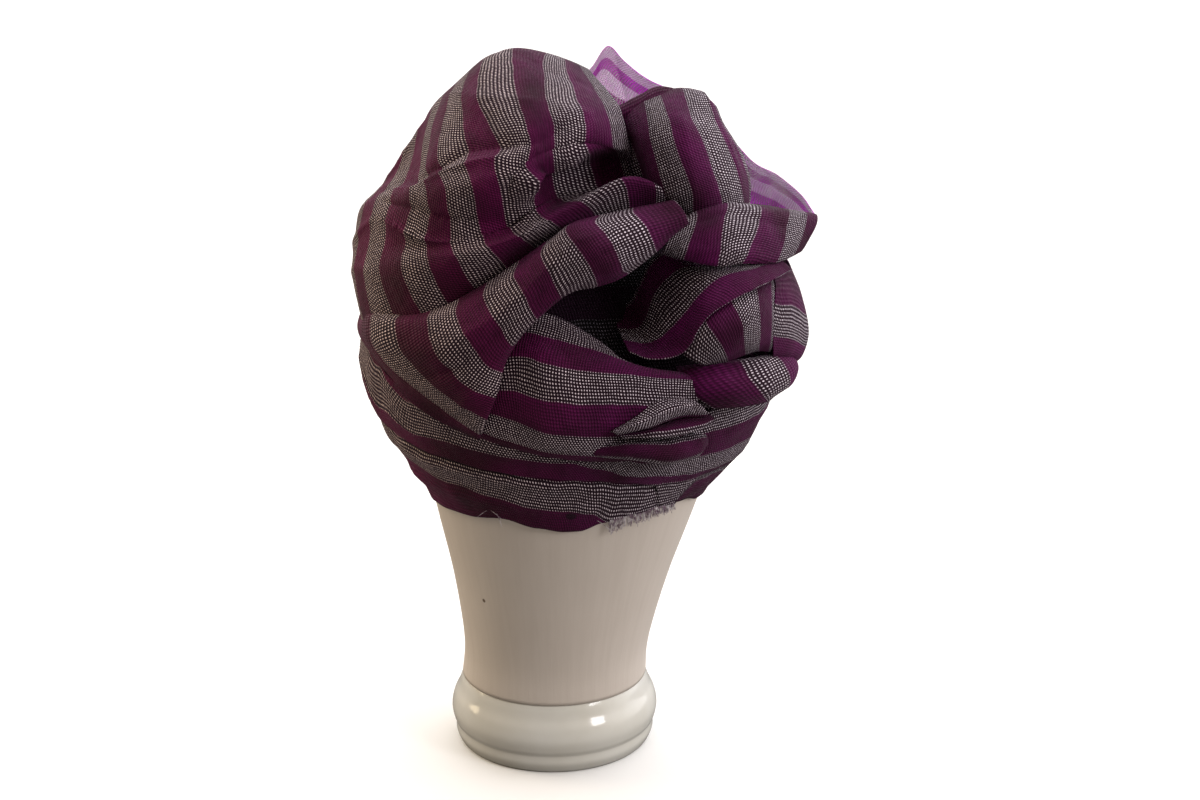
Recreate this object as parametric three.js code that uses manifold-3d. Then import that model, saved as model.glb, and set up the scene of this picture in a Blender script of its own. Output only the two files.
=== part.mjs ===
// A tied gele head tie of open, striped mesh cloth, on the plain vase-like stand that holds it.
// Millimetres, +Z up, the front towards -Y. The origin is the centre of the stand's flat underside.
import * as THREE from 'three';
import { mergeVertices } from 'three/addons/utils/BufferGeometryUtils.js';
import Module from 'manifold-3d';

const wasm = await Module();
wasm.setup();

// Driving dimensions.
const CLOTH_WALL = 1.6; // thickness of every turn of the cloth
const GAP = 0.35; // clear space kept between two pieces
const FOOT_HEIGHT = 42;
const FOOT_RADIUS = 64;
const WAIST_RADIUS = 57;
const STAND_WALL = 5;
const MOUTH_UP = 212; // height of the stand's open mouth, hidden inside the head tie
const STAND_LEAN = 12; // how far the mouth's centre stands to the right of the foot's
const STAND_SIDES = 28;
const BAND_LAP = 3.4; // how far the upper band stands out over the lower one
const RAW_END_TURN = 45; // degrees to the right of the front where the lower band's raw end lies
const LOWER_BAND_TURN = 262; // degrees round the head that the lower band covers
const FRINGE_FROM_TURN = 18;
const FRINGE_STRANDS = 14;
const FRINGE_LENGTH = 7;
const STRAND_WALL = 0.8;

const MATERIALS = {
  cloth: { color: 0x8a5a7c, roughness: 0.75, metalness: 0.0 },
  cream: { color: 0xddd3c6, roughness: 0.85, metalness: 0.0 },
  glaze: { color: 0xf1eeea, roughness: 0.15, metalness: 0.0 },
};

const group = new THREE.Group();

function addPiece(name, solid, finish) {
  const mesh = solid.getMesh();
  const geometry = new THREE.BufferGeometry();
  geometry.setAttribute('position', new THREE.BufferAttribute(mesh.vertProperties, 3));
  geometry.setIndex(new THREE.BufferAttribute(mesh.triVerts, 1));
  geometry.computeVertexNormals();
  const piece = new THREE.Mesh(geometry, new THREE.MeshStandardMaterial(MATERIALS[finish]));
  piece.name = name;
  group.add(piece);
}

function solidFrom(geometry) {
  for (const extra of ['normal', 'uv']) geometry.deleteAttribute(extra);
  const merged = mergeVertices(geometry, 1e-4);
  return new wasm.Manifold(new wasm.Mesh({
    numProp: 3,
    vertProperties: new Float32Array(merged.attributes.position.array),
    triVerts: new Uint32Array(merged.index.array),
  }));
}

// Smooth curve through a row of places, at a parameter that is the place's number along the row.
function along(places, at) {
  const last = places.length - 1;
  const k = Math.min(Math.floor(at), last - 1);
  const t = at - k;
  const b = places[k];
  const c = places[k + 1];
  const a = k > 0 ? places[k - 1] : b.map((value, i) => 2 * value - c[i]);
  const d = k + 2 <= last ? places[k + 2] : c.map((value, i) => 2 * value - b[i]);
  return b.map((value, i) => value + 0.5 * t * (c[i] - a[i]
    + t * (2 * a[i] - 5 * value + 4 * c[i] - d[i] + t * (3 * (value - c[i]) + d[i] - a[i]))));
}

// Grid of places on a turn of cloth, from a table with a row for each section across it.
// Each column is a named place [across, out, up] on that section.
function layCloth(table, stepsAlong, stepsAcross) {
  const sections = table.map((row) => Object.values(row));
  const grid = [];
  for (let i = 0; i <= stepsAlong; i += 1) {
    const line = [];
    for (let j = 0; j <= stepsAcross; j += 1) {
      const across = (j / stepsAcross) * (sections[0].length - 1);
      const column = sections.map((section) => along(section, across));
      line.push(new THREE.Vector3(...along(column, (i / stepsAlong) * (sections.length - 1))));
    }
    grid.push(line);
  }
  return grid;
}

// Closed wall of even thickness round a grid of places; a hoop's last line joins its first.
function wallOn(grid, thickness, hoop = false, reach = 0) {
  const rows = grid.length;
  const columns = grid[0].length;
  const step = (i, by) => (hoop ? (i + by + rows) % rows : Math.min(Math.max(i + by, 0), rows - 1));
  const vertices = [];
  for (const side of [0.5, -0.5]) {
    for (let i = 0; i < rows; i += 1) {
      for (let j = 0; j < columns; j += 1) {
        const down = grid[step(i, 1)][j].clone().sub(grid[step(i, -1)][j]);
        const over = grid[i][Math.min(j + 1, columns - 1)].clone().sub(grid[i][Math.max(j - 1, 0)]);
        const out = down.clone().cross(over).normalize();
        const place = grid[i][j].clone().addScaledVector(out, side * thickness);
        if (!hoop && i === 0) place.addScaledVector(down.normalize(), -reach);
        if (!hoop && i === rows - 1) place.addScaledVector(down.normalize(), reach);
        if (j === 0) place.addScaledVector(over.normalize(), -reach);
        if (j === columns - 1) place.addScaledVector(over.normalize(), reach);
        vertices.push(place.x, place.y, place.z);
      }
    }
  }
  const at = (side, i, j) => side * rows * columns + (i % rows) * columns + j;
  const faces = [];
  const quad = (a, b, c, d) => faces.push(a, b, c, a, c, d);
  for (let i = 0; i < (hoop ? rows : rows - 1); i += 1) {
    for (let j = 0; j < columns - 1; j += 1) {
      quad(at(0, i, j), at(0, i + 1, j), at(0, i + 1, j + 1), at(0, i, j + 1));
      quad(at(1, i, j), at(1, i, j + 1), at(1, i + 1, j + 1), at(1, i + 1, j));
    }
    quad(at(0, i, 0), at(1, i, 0), at(1, i + 1, 0), at(0, i + 1, 0));
    const end = columns - 1;
    quad(at(0, i, end), at(0, i + 1, end), at(1, i + 1, end), at(1, i, end));
  }
  for (let j = 0; j < columns - 1 && !hoop; j += 1) {
    quad(at(0, 0, j), at(0, 0, j + 1), at(1, 0, j + 1), at(1, 0, j));
    const end = rows - 1;
    quad(at(0, end, j), at(1, end, j), at(1, end, j + 1), at(0, end, j + 1));
  }
  const geometry = new THREE.BufferGeometry();
  geometry.setAttribute('position', new THREE.BufferAttribute(new Float32Array(vertices), 3));
  geometry.setIndex(faces);
  return solidFrom(geometry);
}

// The piece that lies on top keeps its shape; each later one gives way to those already laid.
const laid = [];

function largestPart(solid) {
  return solid.decompose().reduce((best, part) => (part.volume() > best.volume() ? part : best));
}

function layPiece(name, grid, hoop = false) {
  let solid = wallOn(grid, CLOTH_WALL, hoop);
  for (const neighbour of laid) solid = solid.subtract(neighbour);
  addPiece(name, largestPart(solid), 'cloth');
  laid.push(wallOn(grid, CLOTH_WALL + 2 * GAP, hoop, GAP));
}

// Smooth value from a table of turns round the band, in degrees from the front to the right.
function roundTable(table, column, turn) {
  const degrees = ((turn % 360) + 360) % 360;
  const next = table.findIndex((row) => row.turn > degrees);
  const to = next < 0 ? { ...table[0], turn: table[0].turn + 360 } : table[next];
  const from = next <= 0 ? { ...table[table.length - 1] } : table[next - 1];
  const t = (degrees - from.turn) / (to.turn - from.turn);
  return from[column] + (to[column] - from[column]) * t * t * (3 - 2 * t);
}

// The stand: a turned, glazed foot and a plain cream body whose axis leans to the right.

function turned(profile) {
  const outline = profile.map(([radius, up]) => new THREE.Vector2(radius, up));
  return new THREE.LatheGeometry(outline, STAND_SIDES).rotateX(Math.PI / 2);
}

// Outline of the foot: a low bead round the bottom, a faint groove, a full swell and a cove up to the seam.
const FOOT_PROFILE = [
  { up: 0, radius: FOOT_RADIUS - 5.6 },
  { up: 1.5, radius: FOOT_RADIUS - 4.2 },
  { up: 6, radius: FOOT_RADIUS - 2.4 },
  { up: 10.5, radius: FOOT_RADIUS - 2.5 },
  { up: 12, radius: FOOT_RADIUS - 2.2 },
  { up: 15, radius: FOOT_RADIUS - 0.9 },
  { up: 21, radius: FOOT_RADIUS },
  { up: 28, radius: FOOT_RADIUS - 1.5 },
  { up: 34, radius: FOOT_RADIUS - 4.4 },
  { up: 39, radius: WAIST_RADIUS + 0.8 },
  { up: FOOT_HEIGHT, radius: WAIST_RADIUS - 0.5 },
];

function standFoot() {
  const outside = FOOT_PROFILE.map(({ up, radius }) => [radius, up]);
  return solidFrom(turned([[0, 0], ...outside, [0, FOOT_HEIGHT]]));
}

// Outer radius of the stand's body at each height.
const STAND_PROFILE = [
  { up: FOOT_HEIGHT + GAP, radius: WAIST_RADIUS },
  { up: 60, radius: WAIST_RADIUS - 0.3 },
  { up: 82, radius: 60 },
  { up: 113, radius: 67 },
  { up: 146, radius: 76.5 },
  { up: 180, radius: 86 },
  { up: MOUTH_UP, radius: 94 },
];

function standBody() {
  const outside = STAND_PROFILE.map(({ up, radius }) => [radius, up]);
  const inside = STAND_PROFILE.slice(1).map(({ up, radius }) => [radius - STAND_WALL, up]).reverse();
  const base = FOOT_HEIGHT + GAP;
  const profile = [[0, base], ...outside, ...inside, [WAIST_RADIUS - STAND_WALL, base + STAND_WALL]];
  const geometry = turned([...profile, [0, base + STAND_WALL]]);
  const places = geometry.attributes.position;
  for (let k = 0; k < places.count; k += 1) {
    const rise = Math.max(places.getZ(k) - base, 0) / (MOUTH_UP - base);
    places.setX(k, places.getX(k) + STAND_LEAN * rise);
  }
  return solidFrom(geometry);
}

const foot = standFoot();
const body = standBody();
addPiece('stand_foot', foot, 'glaze');
addPiece('stand_body', body, 'cream');
laid.push(body);

// The band: the lower band comes round from its raw end at the front right, over the left side and
// the back. The upper band goes all the way round, laps over the lower one and ends in a hem of its
// own where the lower one is missing, on the right.

// Reach of the band's outer face from its centre, across and from front to back, at each height.
const BAND_PROFILE = [
  { up: 150, centre: 8, across: 80, deep: 80 },
  { up: 158, centre: 8, across: 82.3, deep: 82.3 },
  { up: 170, centre: 8.9, across: 88.2, deep: 87 },
  { up: 183, centre: 11, across: 98, deep: 93.5 },
  { up: 193, centre: 11.9, across: 106, deep: 98.5 },
  { up: 203, centre: 11.4, across: 111.6, deep: 102.5 },
  { up: 212, centre: 10.4, across: 115.6, deep: 106 },
  { up: 222, centre: 9.5, across: 119.5, deep: 109.5 },
  { up: 232, centre: 8.8, across: 121.8, deep: 112 },
  { up: 245, centre: 8, across: 122.5, deep: 112.5 },
  { up: 256, centre: 7.5, across: 119.5, deep: 110 },
  { up: 270, centre: 7, across: 112, deep: 103 },
];

// Heights of both bands' lower and upper edges at each turn, and of the fold that covers the lower one.
const BAND_EDGES = [
  { turn: 0, lowerHem: 161, lowerTop: 212, fold: 197, upperHem: 197, upperTop: 229 },
  { turn: 6, lowerHem: 161, lowerTop: 211, fold: 196, upperHem: 196, upperTop: 229 },
  { turn: 15, lowerHem: 166, lowerTop: 210, fold: 194, upperHem: 194, upperTop: 229 },
  { turn: 26, lowerHem: 169, lowerTop: 207, fold: 190, upperHem: 190, upperTop: 230 },
  { turn: 37, lowerHem: 170, lowerTop: 204, fold: 187, upperHem: 172, upperTop: 231 },
  { turn: 50, lowerHem: 170, lowerTop: 200, fold: 184, upperHem: 171, upperTop: 233 },
  { turn: 64, lowerHem: 166, lowerTop: 200, fold: 178, upperHem: 166, upperTop: 236 },
  { turn: 90, lowerHem: 164, lowerTop: 200, fold: 174, upperHem: 165, upperTop: 240 },
  { turn: 150, lowerHem: 162, lowerTop: 204, fold: 172, upperHem: 164, upperTop: 258 },
  { turn: 180, lowerHem: 162, lowerTop: 214, fold: 190, upperHem: 190, upperTop: 262 },
  { turn: 240, lowerHem: 162, lowerTop: 230, fold: 212, upperHem: 212, upperTop: 266 },
  { turn: 280, lowerHem: 163, lowerTop: 236, fold: 216, upperHem: 216, upperTop: 262 },
  { turn: 320, lowerHem: 164, lowerTop: 220, fold: 204, upperHem: 204, upperTop: 242 },
  { turn: 336, lowerHem: 167, lowerTop: 214, fold: 200, upperHem: 200, upperTop: 234 },
  { turn: 350, lowerHem: 163, lowerTop: 213, fold: 198, upperHem: 198, upperTop: 230 },
];

// Soft folds that run round the band: where each starts and ends, its width and how far it stands out.
const BAND_FOLDS = [
  { fromTurn: 190, fromUp: 182, toTurn: 400, toUp: 176, width: 5, stand: 2.2 },
  { fromTurn: 230, fromUp: 206, toTurn: 395, toUp: 190, width: 5, stand: 2.4 },
  { fromTurn: 60, fromUp: 186, toTurn: 200, toUp: 200, width: 6, stand: 2.6 },
  { fromTurn: 20, fromUp: 212, toTurn: 170, toUp: 226, width: 6, stand: 2.6 },
  { fromTurn: 100, fromUp: 168, toTurn: 215, toUp: 196, width: 5, stand: 2.0 },
];

function onBand(column, up) {
  const next = Math.max(1, BAND_PROFILE.findIndex((row) => row.up >= up));
  const from = BAND_PROFILE[next - 1];
  const to = BAND_PROFILE[next];
  return from[column] + (to[column] - from[column]) * ((up - from.up) / (to.up - from.up));
}

function bandFold(turn, up) {
  let stand = 0;
  for (const fold of BAND_FOLDS) {
    for (const lap of [0, 360]) {
      const t = (turn + lap - fold.fromTurn) / (fold.toTurn - fold.fromTurn);
      if (t > 0 && t < 1) {
        const off = (up - fold.fromUp - (fold.toUp - fold.fromUp) * t) / fold.width;
        stand += fold.stand * Math.sin(Math.PI * t) * Math.exp(-off * off);
      }
    }
  }
  return stand;
}

// Place on the band's middle face, pressed in by a depth.
function bandPlace(turn, up, press) {
  const angle = THREE.MathUtils.degToRad(turn);
  const out = bandFold(turn, up) - CLOTH_WALL / 2 - press;
  return new THREE.Vector3(
    onBand('centre', up) + (onBand('across', up) + out) * Math.sin(angle),
    -(onBand('deep', up) + out) * Math.cos(angle),
    up,
  );
}

function bandGrid(fromTurn, toTurn, steps, rise, hemColumn, topColumn, tuck) {
  const grid = [];
  for (let i = 0; i <= steps; i += 1) {
    const turn = fromTurn + ((toTurn - fromTurn) * i) / steps;
    const hem = roundTable(BAND_EDGES, hemColumn, turn);
    const top = roundTable(BAND_EDGES, topColumn, turn);
    const line = [];
    for (let j = 0; j <= rise; j += 1) {
      const up = hem + ((top - hem) * j) / rise;
      line.push(bandPlace(turn, up, tuck(turn, up)));
    }
    grid.push(line);
  }
  return grid;
}

// The lower band sinks under the fold of the upper band.
function lowerTuck(turn, up) {
  const fold = roundTable(BAND_EDGES, 'fold', turn);
  return BAND_LAP * THREE.MathUtils.smoothstep(up, fold - 8, fold + 1);
}

const lowerEnd = RAW_END_TURN - LOWER_BAND_TURN;
layPiece('lower_band', bandGrid(RAW_END_TURN, lowerEnd, 28, 5, 'lowerHem', 'lowerTop', lowerTuck));
const upperBand = bandGrid(0, 360, 36, 5, 'upperHem', 'upperTop', () => 0);
layPiece('upper_band', upperBand.slice(0, -1), true);

// The fringe: loose threads below the lower band's raw corner, fused to a strip along the hem.
function endFringe() {
  const hem = bandGrid(FRINGE_FROM_TURN, RAW_END_TURN, 8, 1, 'lowerHem', 'lowerHem', () => 0);
  const head = hem.map((line) => line[0]);
  const strip = head.map((place) => [place.clone(), place.clone()].map((end, k) => {
    end.z -= CLOTH_WALL / 2 + GAP + 1.2 * k;
    return end;
  }));
  let solid = wallOn(strip, CLOTH_WALL);
  for (let k = 0; k < FRINGE_STRANDS; k += 1) {
    const at = (k + 0.5) / FRINGE_STRANDS * (head.length - 1);
    const root = along(head.map((place) => place.toArray()), at);
    const length = FRINGE_LENGTH * (0.65 + 0.35 * Math.sin(2.4 * k));
    const lean = 1.2 * Math.sin(1.7 * k);
    const strand = [0, 1].map((end) => [-0.5, 0.5].map((half) => new THREE.Vector3(
      root[0] + half + lean * end,
      root[1] - 0.8 * end,
      root[2] - 1.6 - length * end,
    )));
    solid = solid.add(wallOn(strand, STRAND_WALL));
  }
  return solid;
}

let fringe = endFringe();
for (const neighbour of laid) fringe = fringe.subtract(neighbour);
addPiece('end_fringe', largestPart(fringe), 'cloth');

// The rolled fold that crosses the front: the cloth comes from under the left lobe, turns down over
// the left cheek and rolls over the hollow in the middle.
const DIAGONAL_ROLL = [
  { hem: [-114, 12, 279], side: [-96, -56, 282], cheek: [-62, -93, 290], front: [-31, -100, 307],
    brow: [1, -102, 329], rim: [13, -102, 338], pocket: [28, -99, 342], knot: [67, -84, 348] },
  { hem: [-114, 10, 270], side: [-99, -62, 277], cheek: [-63, -104, 285], front: [-32, -114, 301],
    brow: [-2, -119, 325], rim: [11, -120, 337], pocket: [27, -116, 341], knot: [69, -93, 348] },
  { hem: [-111, -18, 257], side: [-95, -68, 260], cheek: [-58, -112, 272], front: [-25, -124, 291],
    brow: [3, -128, 316], rim: [20, -130, 326], pocket: [35, -126, 332], knot: [73, -98, 343] },
  { hem: [-78, -83, 238], side: [-68, -91, 243], cheek: [-45, -115, 256], front: [-20, -121, 281],
    brow: [7, -123, 306], rim: [26, -124, 315], pocket: [40, -120, 319], knot: [75, -96, 338] },
  { hem: [-41, -105, 223], side: [-38, -110, 227], cheek: [-28, -116, 248], front: [-17, -112, 275],
    brow: [9, -110, 300], rim: [27, -109, 306], pocket: [44, -105, 313], knot: [76, -88, 335] },
  { hem: [-40, -99, 223], side: [-37, -103, 227], cheek: [-31, -109, 247], front: [-15, -101, 276],
    brow: [10, -95, 303], rim: [26, -93, 311], pocket: [42, -91, 317], knot: [71, -80, 333] },
];
layPiece('diagonal_roll', layCloth(DIAGONAL_ROLL, 11, 14));

// The swath under the hollow, from behind the left cheek to behind the pleats on the right.
const FRONT_SWATH = [
  { tuck: [-48, -94, 222], edge: [-47, -99, 228], lower: [-45, -100, 238], middle: [-41, -102, 248],
    upper: [-35, -100, 263], lip: [-28, -94, 277], inside: [-20, -86, 287] },
  { tuck: [-23, -103, 217], edge: [-22, -108, 222], lower: [-21, -109, 234], middle: [-18, -110, 250],
    upper: [-14, -108, 268], lip: [-10, -98, 279], inside: [-4, -84, 287] },
  { tuck: [-1, -106, 212], edge: [-1, -113, 217], lower: [-1, -117, 229], middle: [0, -120, 247],
    upper: [0, -117, 266], lip: [3, -103, 277], inside: [8, -84, 283] },
  { tuck: [22, -107, 210], edge: [22, -114, 215], lower: [22, -118, 227], middle: [23, -121, 245],
    upper: [23, -117, 262], lip: [24, -103, 271], inside: [27, -84, 272] },
  { tuck: [42, -99, 208], edge: [42, -105, 212], lower: [46, -109, 225], middle: [50, -117, 244],
    upper: [52, -115, 259], lip: [51, -104, 262], inside: [50, -90, 256] },
  { tuck: [66, -88, 208], edge: [67, -93, 212], lower: [74, -96, 225], middle: [80, -104, 241],
    upper: [85, -103, 253], lip: [84, -93, 254], inside: [82, -80, 249] },
];
layPiece('front_swath', layCloth(FRONT_SWATH, 10, 8));

// The curl on the right of the hollow: its dark inner wall rises to a wide stripe and a light edge.
const INNER_CURL = [
  { deep: [36, -46, 280], hollow: [38, -64, 274], bound: [41, -82, 271], edge: [44, -97, 268] },
  { deep: [46, -56, 288], hollow: [51, -70, 277], bound: [55, -88, 271], edge: [56, -106, 266] },
  { deep: [56, -60, 310], hollow: [59, -72, 297], bound: [68, -96, 282], edge: [73, -110, 271] },
  { deep: [66, -66, 317], hollow: [70, -79, 310], bound: [81, -104, 300], edge: [85, -112, 290] },
  { deep: [78, -66, 316], hollow: [84, -85, 313], bound: [93, -101, 310], edge: [103, -107, 301] },
  { deep: [95, -58, 315], hollow: [103, -80, 314], bound: [110, -90, 312], edge: [118, -93, 305] },
  { deep: [115, -42, 315], hollow: [121, -58, 314], bound: [128, -64, 312], edge: [134, -66, 307] },
];
layPiece('inner_curl', layCloth(INNER_CURL, 9, 6));

// The petal above it, whose top edge runs out to the corner on the far right and folds over there.
const RIGHT_MID_PETAL = [
  { knot: [63, -82, 334], brown: [77, -72, 338], first: [97, -58, 342],
    second: [114, -46, 340], third: [132, -34, 336], corner: [147, -16, 330] },
  { knot: [66, -97, 333], brown: [80, -89, 342], first: [97, -81, 345],
    second: [116, -67, 340], third: [134, -46, 335], corner: [152, -22, 330] },
  { knot: [64, -99, 329], brown: [77, -99, 332], first: [93, -97, 334],
    second: [112, -84, 330], third: [130, -63, 324], corner: [149, -35, 324] },
  { knot: [62, -96, 323], brown: [73, -99, 320], first: [91, -101, 317],
    second: [104, -94, 317], third: [124, -74, 313], corner: [140, -50, 314] },
  { knot: [61, -84, 319], brown: [72, -90, 317], first: [89, -91, 317],
    second: [104, -83, 317], third: [121, -62, 317], corner: [135, -40, 318] },
];
layPiece('right_mid_petal', layCloth(RIGHT_MID_PETAL, 7, 8));

// The pleats at the lower right, one over the other, where the swath's end is tucked away.
const PLEATS = {
  pleat_lower: [
    { inner: [24, -111, 217], top: [24, -113, 218], belly: [25, -114, 216], under: [25, -111, 214] },
    { inner: [43, -110, 221], top: [43, -117, 222], belly: [46, -120, 217], under: [47, -112, 212] },
    { inner: [64, -108, 222], top: [65, -117, 222], belly: [66, -120, 215], under: [66, -110, 209] },
    { inner: [80, -98, 223], top: [81, -107, 222], belly: [82, -109, 216], under: [81, -99, 210] },
    { inner: [86, -94, 221], top: [87, -97, 220], belly: [87, -98, 217], under: [86, -93, 214] },
  ],
  pleat_middle: [
    { inner: [38, -113, 226], top: [39, -116, 227], belly: [40, -117, 226], under: [40, -114, 225] },
    { inner: [58, -108, 230], top: [60, -117, 230], belly: [61, -119, 227], under: [61, -111, 225] },
    { inner: [76, -100, 233], top: [78, -110, 231], belly: [79, -111, 228], under: [79, -102, 225] },
    { inner: [88, -92, 232], top: [90, -97, 231], belly: [90, -98, 229], under: [89, -92, 227] },
  ],
  pleat_upper: [
    { inner: [34, -117, 229], top: [35, -120, 230], belly: [37, -121, 229], under: [38, -118, 228] },
    { inner: [47, -117, 237], top: [51, -121, 236], belly: [54, -121, 233], under: [55, -115, 231] },
    { inner: [60, -115, 246], top: [66, -116, 242], belly: [69, -115, 238], under: [69, -108, 234] },
    { inner: [74, -109, 246], top: [82, -108, 242], belly: [86, -106, 237], under: [86, -100, 233] },
  ],
};
for (const [name, table] of Object.entries(PLEATS)) layPiece(name, layCloth(table, 6, 5));

// The puff on the right: a striped front part, a back part round the side, and a roll under both.
const PUFF_FRONT = [
  { first: [69, -97, 273], second: [82, -98, 289], third: [96, -93, 298],
    fourth: [110, -83, 302], ridge: [122, -68, 304] },
  { first: [72, -107, 270], second: [84, -110, 288], third: [98, -106, 298],
    fourth: [112, -96, 301], ridge: [123, -80, 302] },
  { first: [77, -110, 267], second: [89, -116, 281], third: [103, -114, 288],
    fourth: [113, -106, 290], ridge: [122, -90, 289] },
  { first: [83, -108, 264], second: [95, -112, 271], third: [105, -108, 275],
    fourth: [114, -98, 274], ridge: [122, -88, 272] },
  { first: [86, -97, 261], second: [97, -98, 263], third: [107, -94, 266],
    fourth: [115, -86, 266], ridge: [122, -76, 263] },
];
layPiece('puff_front', layCloth(PUFF_FRONT, 7, 6));

const PUFF_ROLL = [
  { tuck: [70, -90, 258], top: [70, -97, 257], belly: [70, -102, 252],
    low: [73, -101, 243], under: [78, -96, 237] },
  { tuck: [84, -94, 261], top: [84, -102, 261], belly: [85, -109, 255],
    low: [87, -108, 246], under: [90, -101, 238] },
  { tuck: [102, -90, 262], top: [102, -98, 262], belly: [103, -106, 256],
    low: [105, -105, 247], under: [108, -97, 238] },
  { tuck: [117, -78, 261], top: [119, -86, 261], belly: [121, -92, 255],
    low: [122, -90, 245], under: [121, -82, 237] },
  { tuck: [132, -54, 257], top: [136, -58, 256], belly: [139, -60, 249],
    low: [136, -57, 239], under: [127, -52, 233] },
  { tuck: [134, -20, 252], top: [139, -22, 250], belly: [141, -22, 243],
    low: [135, -21, 234], under: [128, -20, 229] },
  { tuck: [128, 16, 252], top: [133, 18, 250], belly: [135, 20, 242],
    low: [131, 18, 234], under: [125, 16, 229] },
  { tuck: [112, 44, 252], top: [116, 50, 250], belly: [118, 53, 243],
    low: [114, 51, 236], under: [108, 48, 232] },
];
layPiece('puff_roll', layCloth(PUFF_ROLL, 10, 6));

const PUFF_BACK = [
  { ridge: [125, -60, 302], middle: [133, -44, 303], out: [138, -20, 301],
    back: [134, 22, 302], tail: [114, 50, 302] },
  { ridge: [124, -78, 297], middle: [136, -58, 291], out: [145, -30, 282],
    back: [141, 24, 284], tail: [118, 54, 285] },
  { ridge: [123, -84, 283], middle: [137, -64, 276], out: [148, -32, 265],
    back: [143, 26, 266], tail: [120, 56, 268] },
  { ridge: [123, -82, 268], middle: [136, -64, 262], out: [145, -32, 252],
    back: [141, 26, 254], tail: [120, 54, 256] },
  { ridge: [124, -74, 258], middle: [133, -58, 253], out: [140, -30, 246],
    back: [136, 24, 249], tail: [116, 50, 252] },
];
layPiece('puff_back', layCloth(PUFF_BACK, 6, 8));

// The left lobe: the widest turn of the cloth. It rises from the left side, dips in at two creases,
// bulges in between, sinks into a pocket beside the knot and goes over the top to the back.
const LEFT_LOBE = [
  { back: [-92, 66, 256], rear: [-110, 30, 258], flank: [-111, -12, 267], side: [-98, -56, 273],
    cheek: [-63, -92, 278], front: [-31, -88, 289], brow: [0, -75, 315], rim: [18, -70, 321],
    pocket: [35, -66, 326], mouth: [50, -70, 329], knot: [66, -66, 331] },
  { back: [-93, 66, 287], rear: [-113, 30, 289], flank: [-115, -12, 294], side: [-103, -50, 301],
    cheek: [-78, -86, 311], front: [-46, -105, 319], brow: [-13, -108, 332], rim: [3, -104, 340],
    pocket: [20, -100, 349], mouth: [45, -93, 361], knot: [70, -82, 349] },
  { back: [-91, 67, 307], rear: [-110, 30, 309], flank: [-113, -10, 315], side: [-100, -46, 321],
    cheek: [-76, -76, 325], front: [-50, -94, 328], brow: [-20, -94, 335], rim: [-6, -90, 343],
    pocket: [6, -72, 346], mouth: [34, -60, 350], knot: [56, -60, 353] },
  { back: [-88, 68, 322], rear: [-104, 32, 327], flank: [-110, -8, 333], side: [-98, -38, 339],
    cheek: [-74, -74, 347], front: [-52, -96, 354], brow: [-24, -108, 359], rim: [-7, -104, 361],
    pocket: [2, -72, 364], mouth: [28, -56, 367], knot: [50, -52, 364] },
  { back: [-86, 67, 329], rear: [-98, 35, 334], flank: [-102, 0, 340], side: [-93, -26, 346],
    cheek: [-72, -61, 352], front: [-56, -82, 363], brow: [-26, -104, 369], rim: [-9, -108, 371],
    pocket: [4, -101, 371], mouth: [27, -90, 376], knot: [45, -62, 373] },
  { back: [-85, 66, 336], rear: [-93, 38, 341], flank: [-94, 8, 347], side: [-88, -14, 352],
    cheek: [-71, -48, 358], front: [-59, -68, 372], brow: [-25, -92, 380], rim: [-8, -100, 384],
    pocket: [5, -98, 386], mouth: [25, -88, 391], knot: [41, -60, 388] },
  { back: [-80, 70, 344], rear: [-82, 48, 353], flank: [-83, 20, 361], side: [-78, 2, 370],
    cheek: [-69, -14, 382], front: [-55, -34, 395], brow: [-37, -64, 400], rim: [-15, -76, 402],
    pocket: [0, -78, 402], mouth: [19, -66, 402], knot: [37, -48, 397] },
  { back: [-80, 77, 344], rear: [-80, 62, 354], flank: [-79, 44, 362], side: [-74, 28, 376],
    cheek: [-65, 10, 391], front: [-50, -4, 405], brow: [-35, -15, 418], rim: [-20, -18, 423],
    pocket: [-2, -18, 420], mouth: [11, -15, 416], knot: [22, -11, 411] },
  { back: [-90, 74, 333], rear: [-82, 77, 343], flank: [-73, 66, 352], side: [-65, 56, 368],
    cheek: [-53, 48, 383], front: [-40, 42, 395], brow: [-24, 36, 404], rim: [-8, 32, 407],
    pocket: [6, 28, 406], mouth: [16, 25, 403], knot: [25, 22, 400] },
  { back: [-96, 72, 306], rear: [-82, 86, 313], flank: [-68, 88, 324], side: [-58, 86, 338],
    cheek: [-46, 82, 350], front: [-34, 78, 360], brow: [-20, 74, 366], rim: [-6, 70, 368],
    pocket: [8, 66, 367], mouth: [17, 63, 364], knot: [26, 60, 362] },
  { back: [-99, 69, 276], rear: [-83, 88, 282], flank: [-64, 94, 297], side: [-53, 94, 307],
    cheek: [-42, 92, 316], front: [-31, 90, 323], brow: [-18, 88, 328], rim: [-6, 86, 330],
    pocket: [7, 84, 330], mouth: [15, 82, 329], knot: [24, 80, 328] },
];
layPiece('left_lobe', layCloth(LEFT_LOBE, 19, 15));

// The rolled edge of the tall petal on the right, along its top left.
const PETAL_ROLL = [
  { behind: [37, -33, 390], over: [36, -43, 392], front: [37, -51, 387], under: [42, -48, 380] },
  { behind: [49, -34, 397], over: [49, -44, 399], front: [50, -53, 394], under: [54, -51, 386] },
  { behind: [61, -34, 402], over: [61, -42, 404], front: [62, -50, 400], under: [65, -50, 393] },
  { behind: [74, -37, 401], over: [76, -40, 401], front: [78, -43, 399], under: [80, -44, 396] },
];
layPiece('petal_roll', layCloth(PETAL_ROLL, 5, 5));

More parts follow.
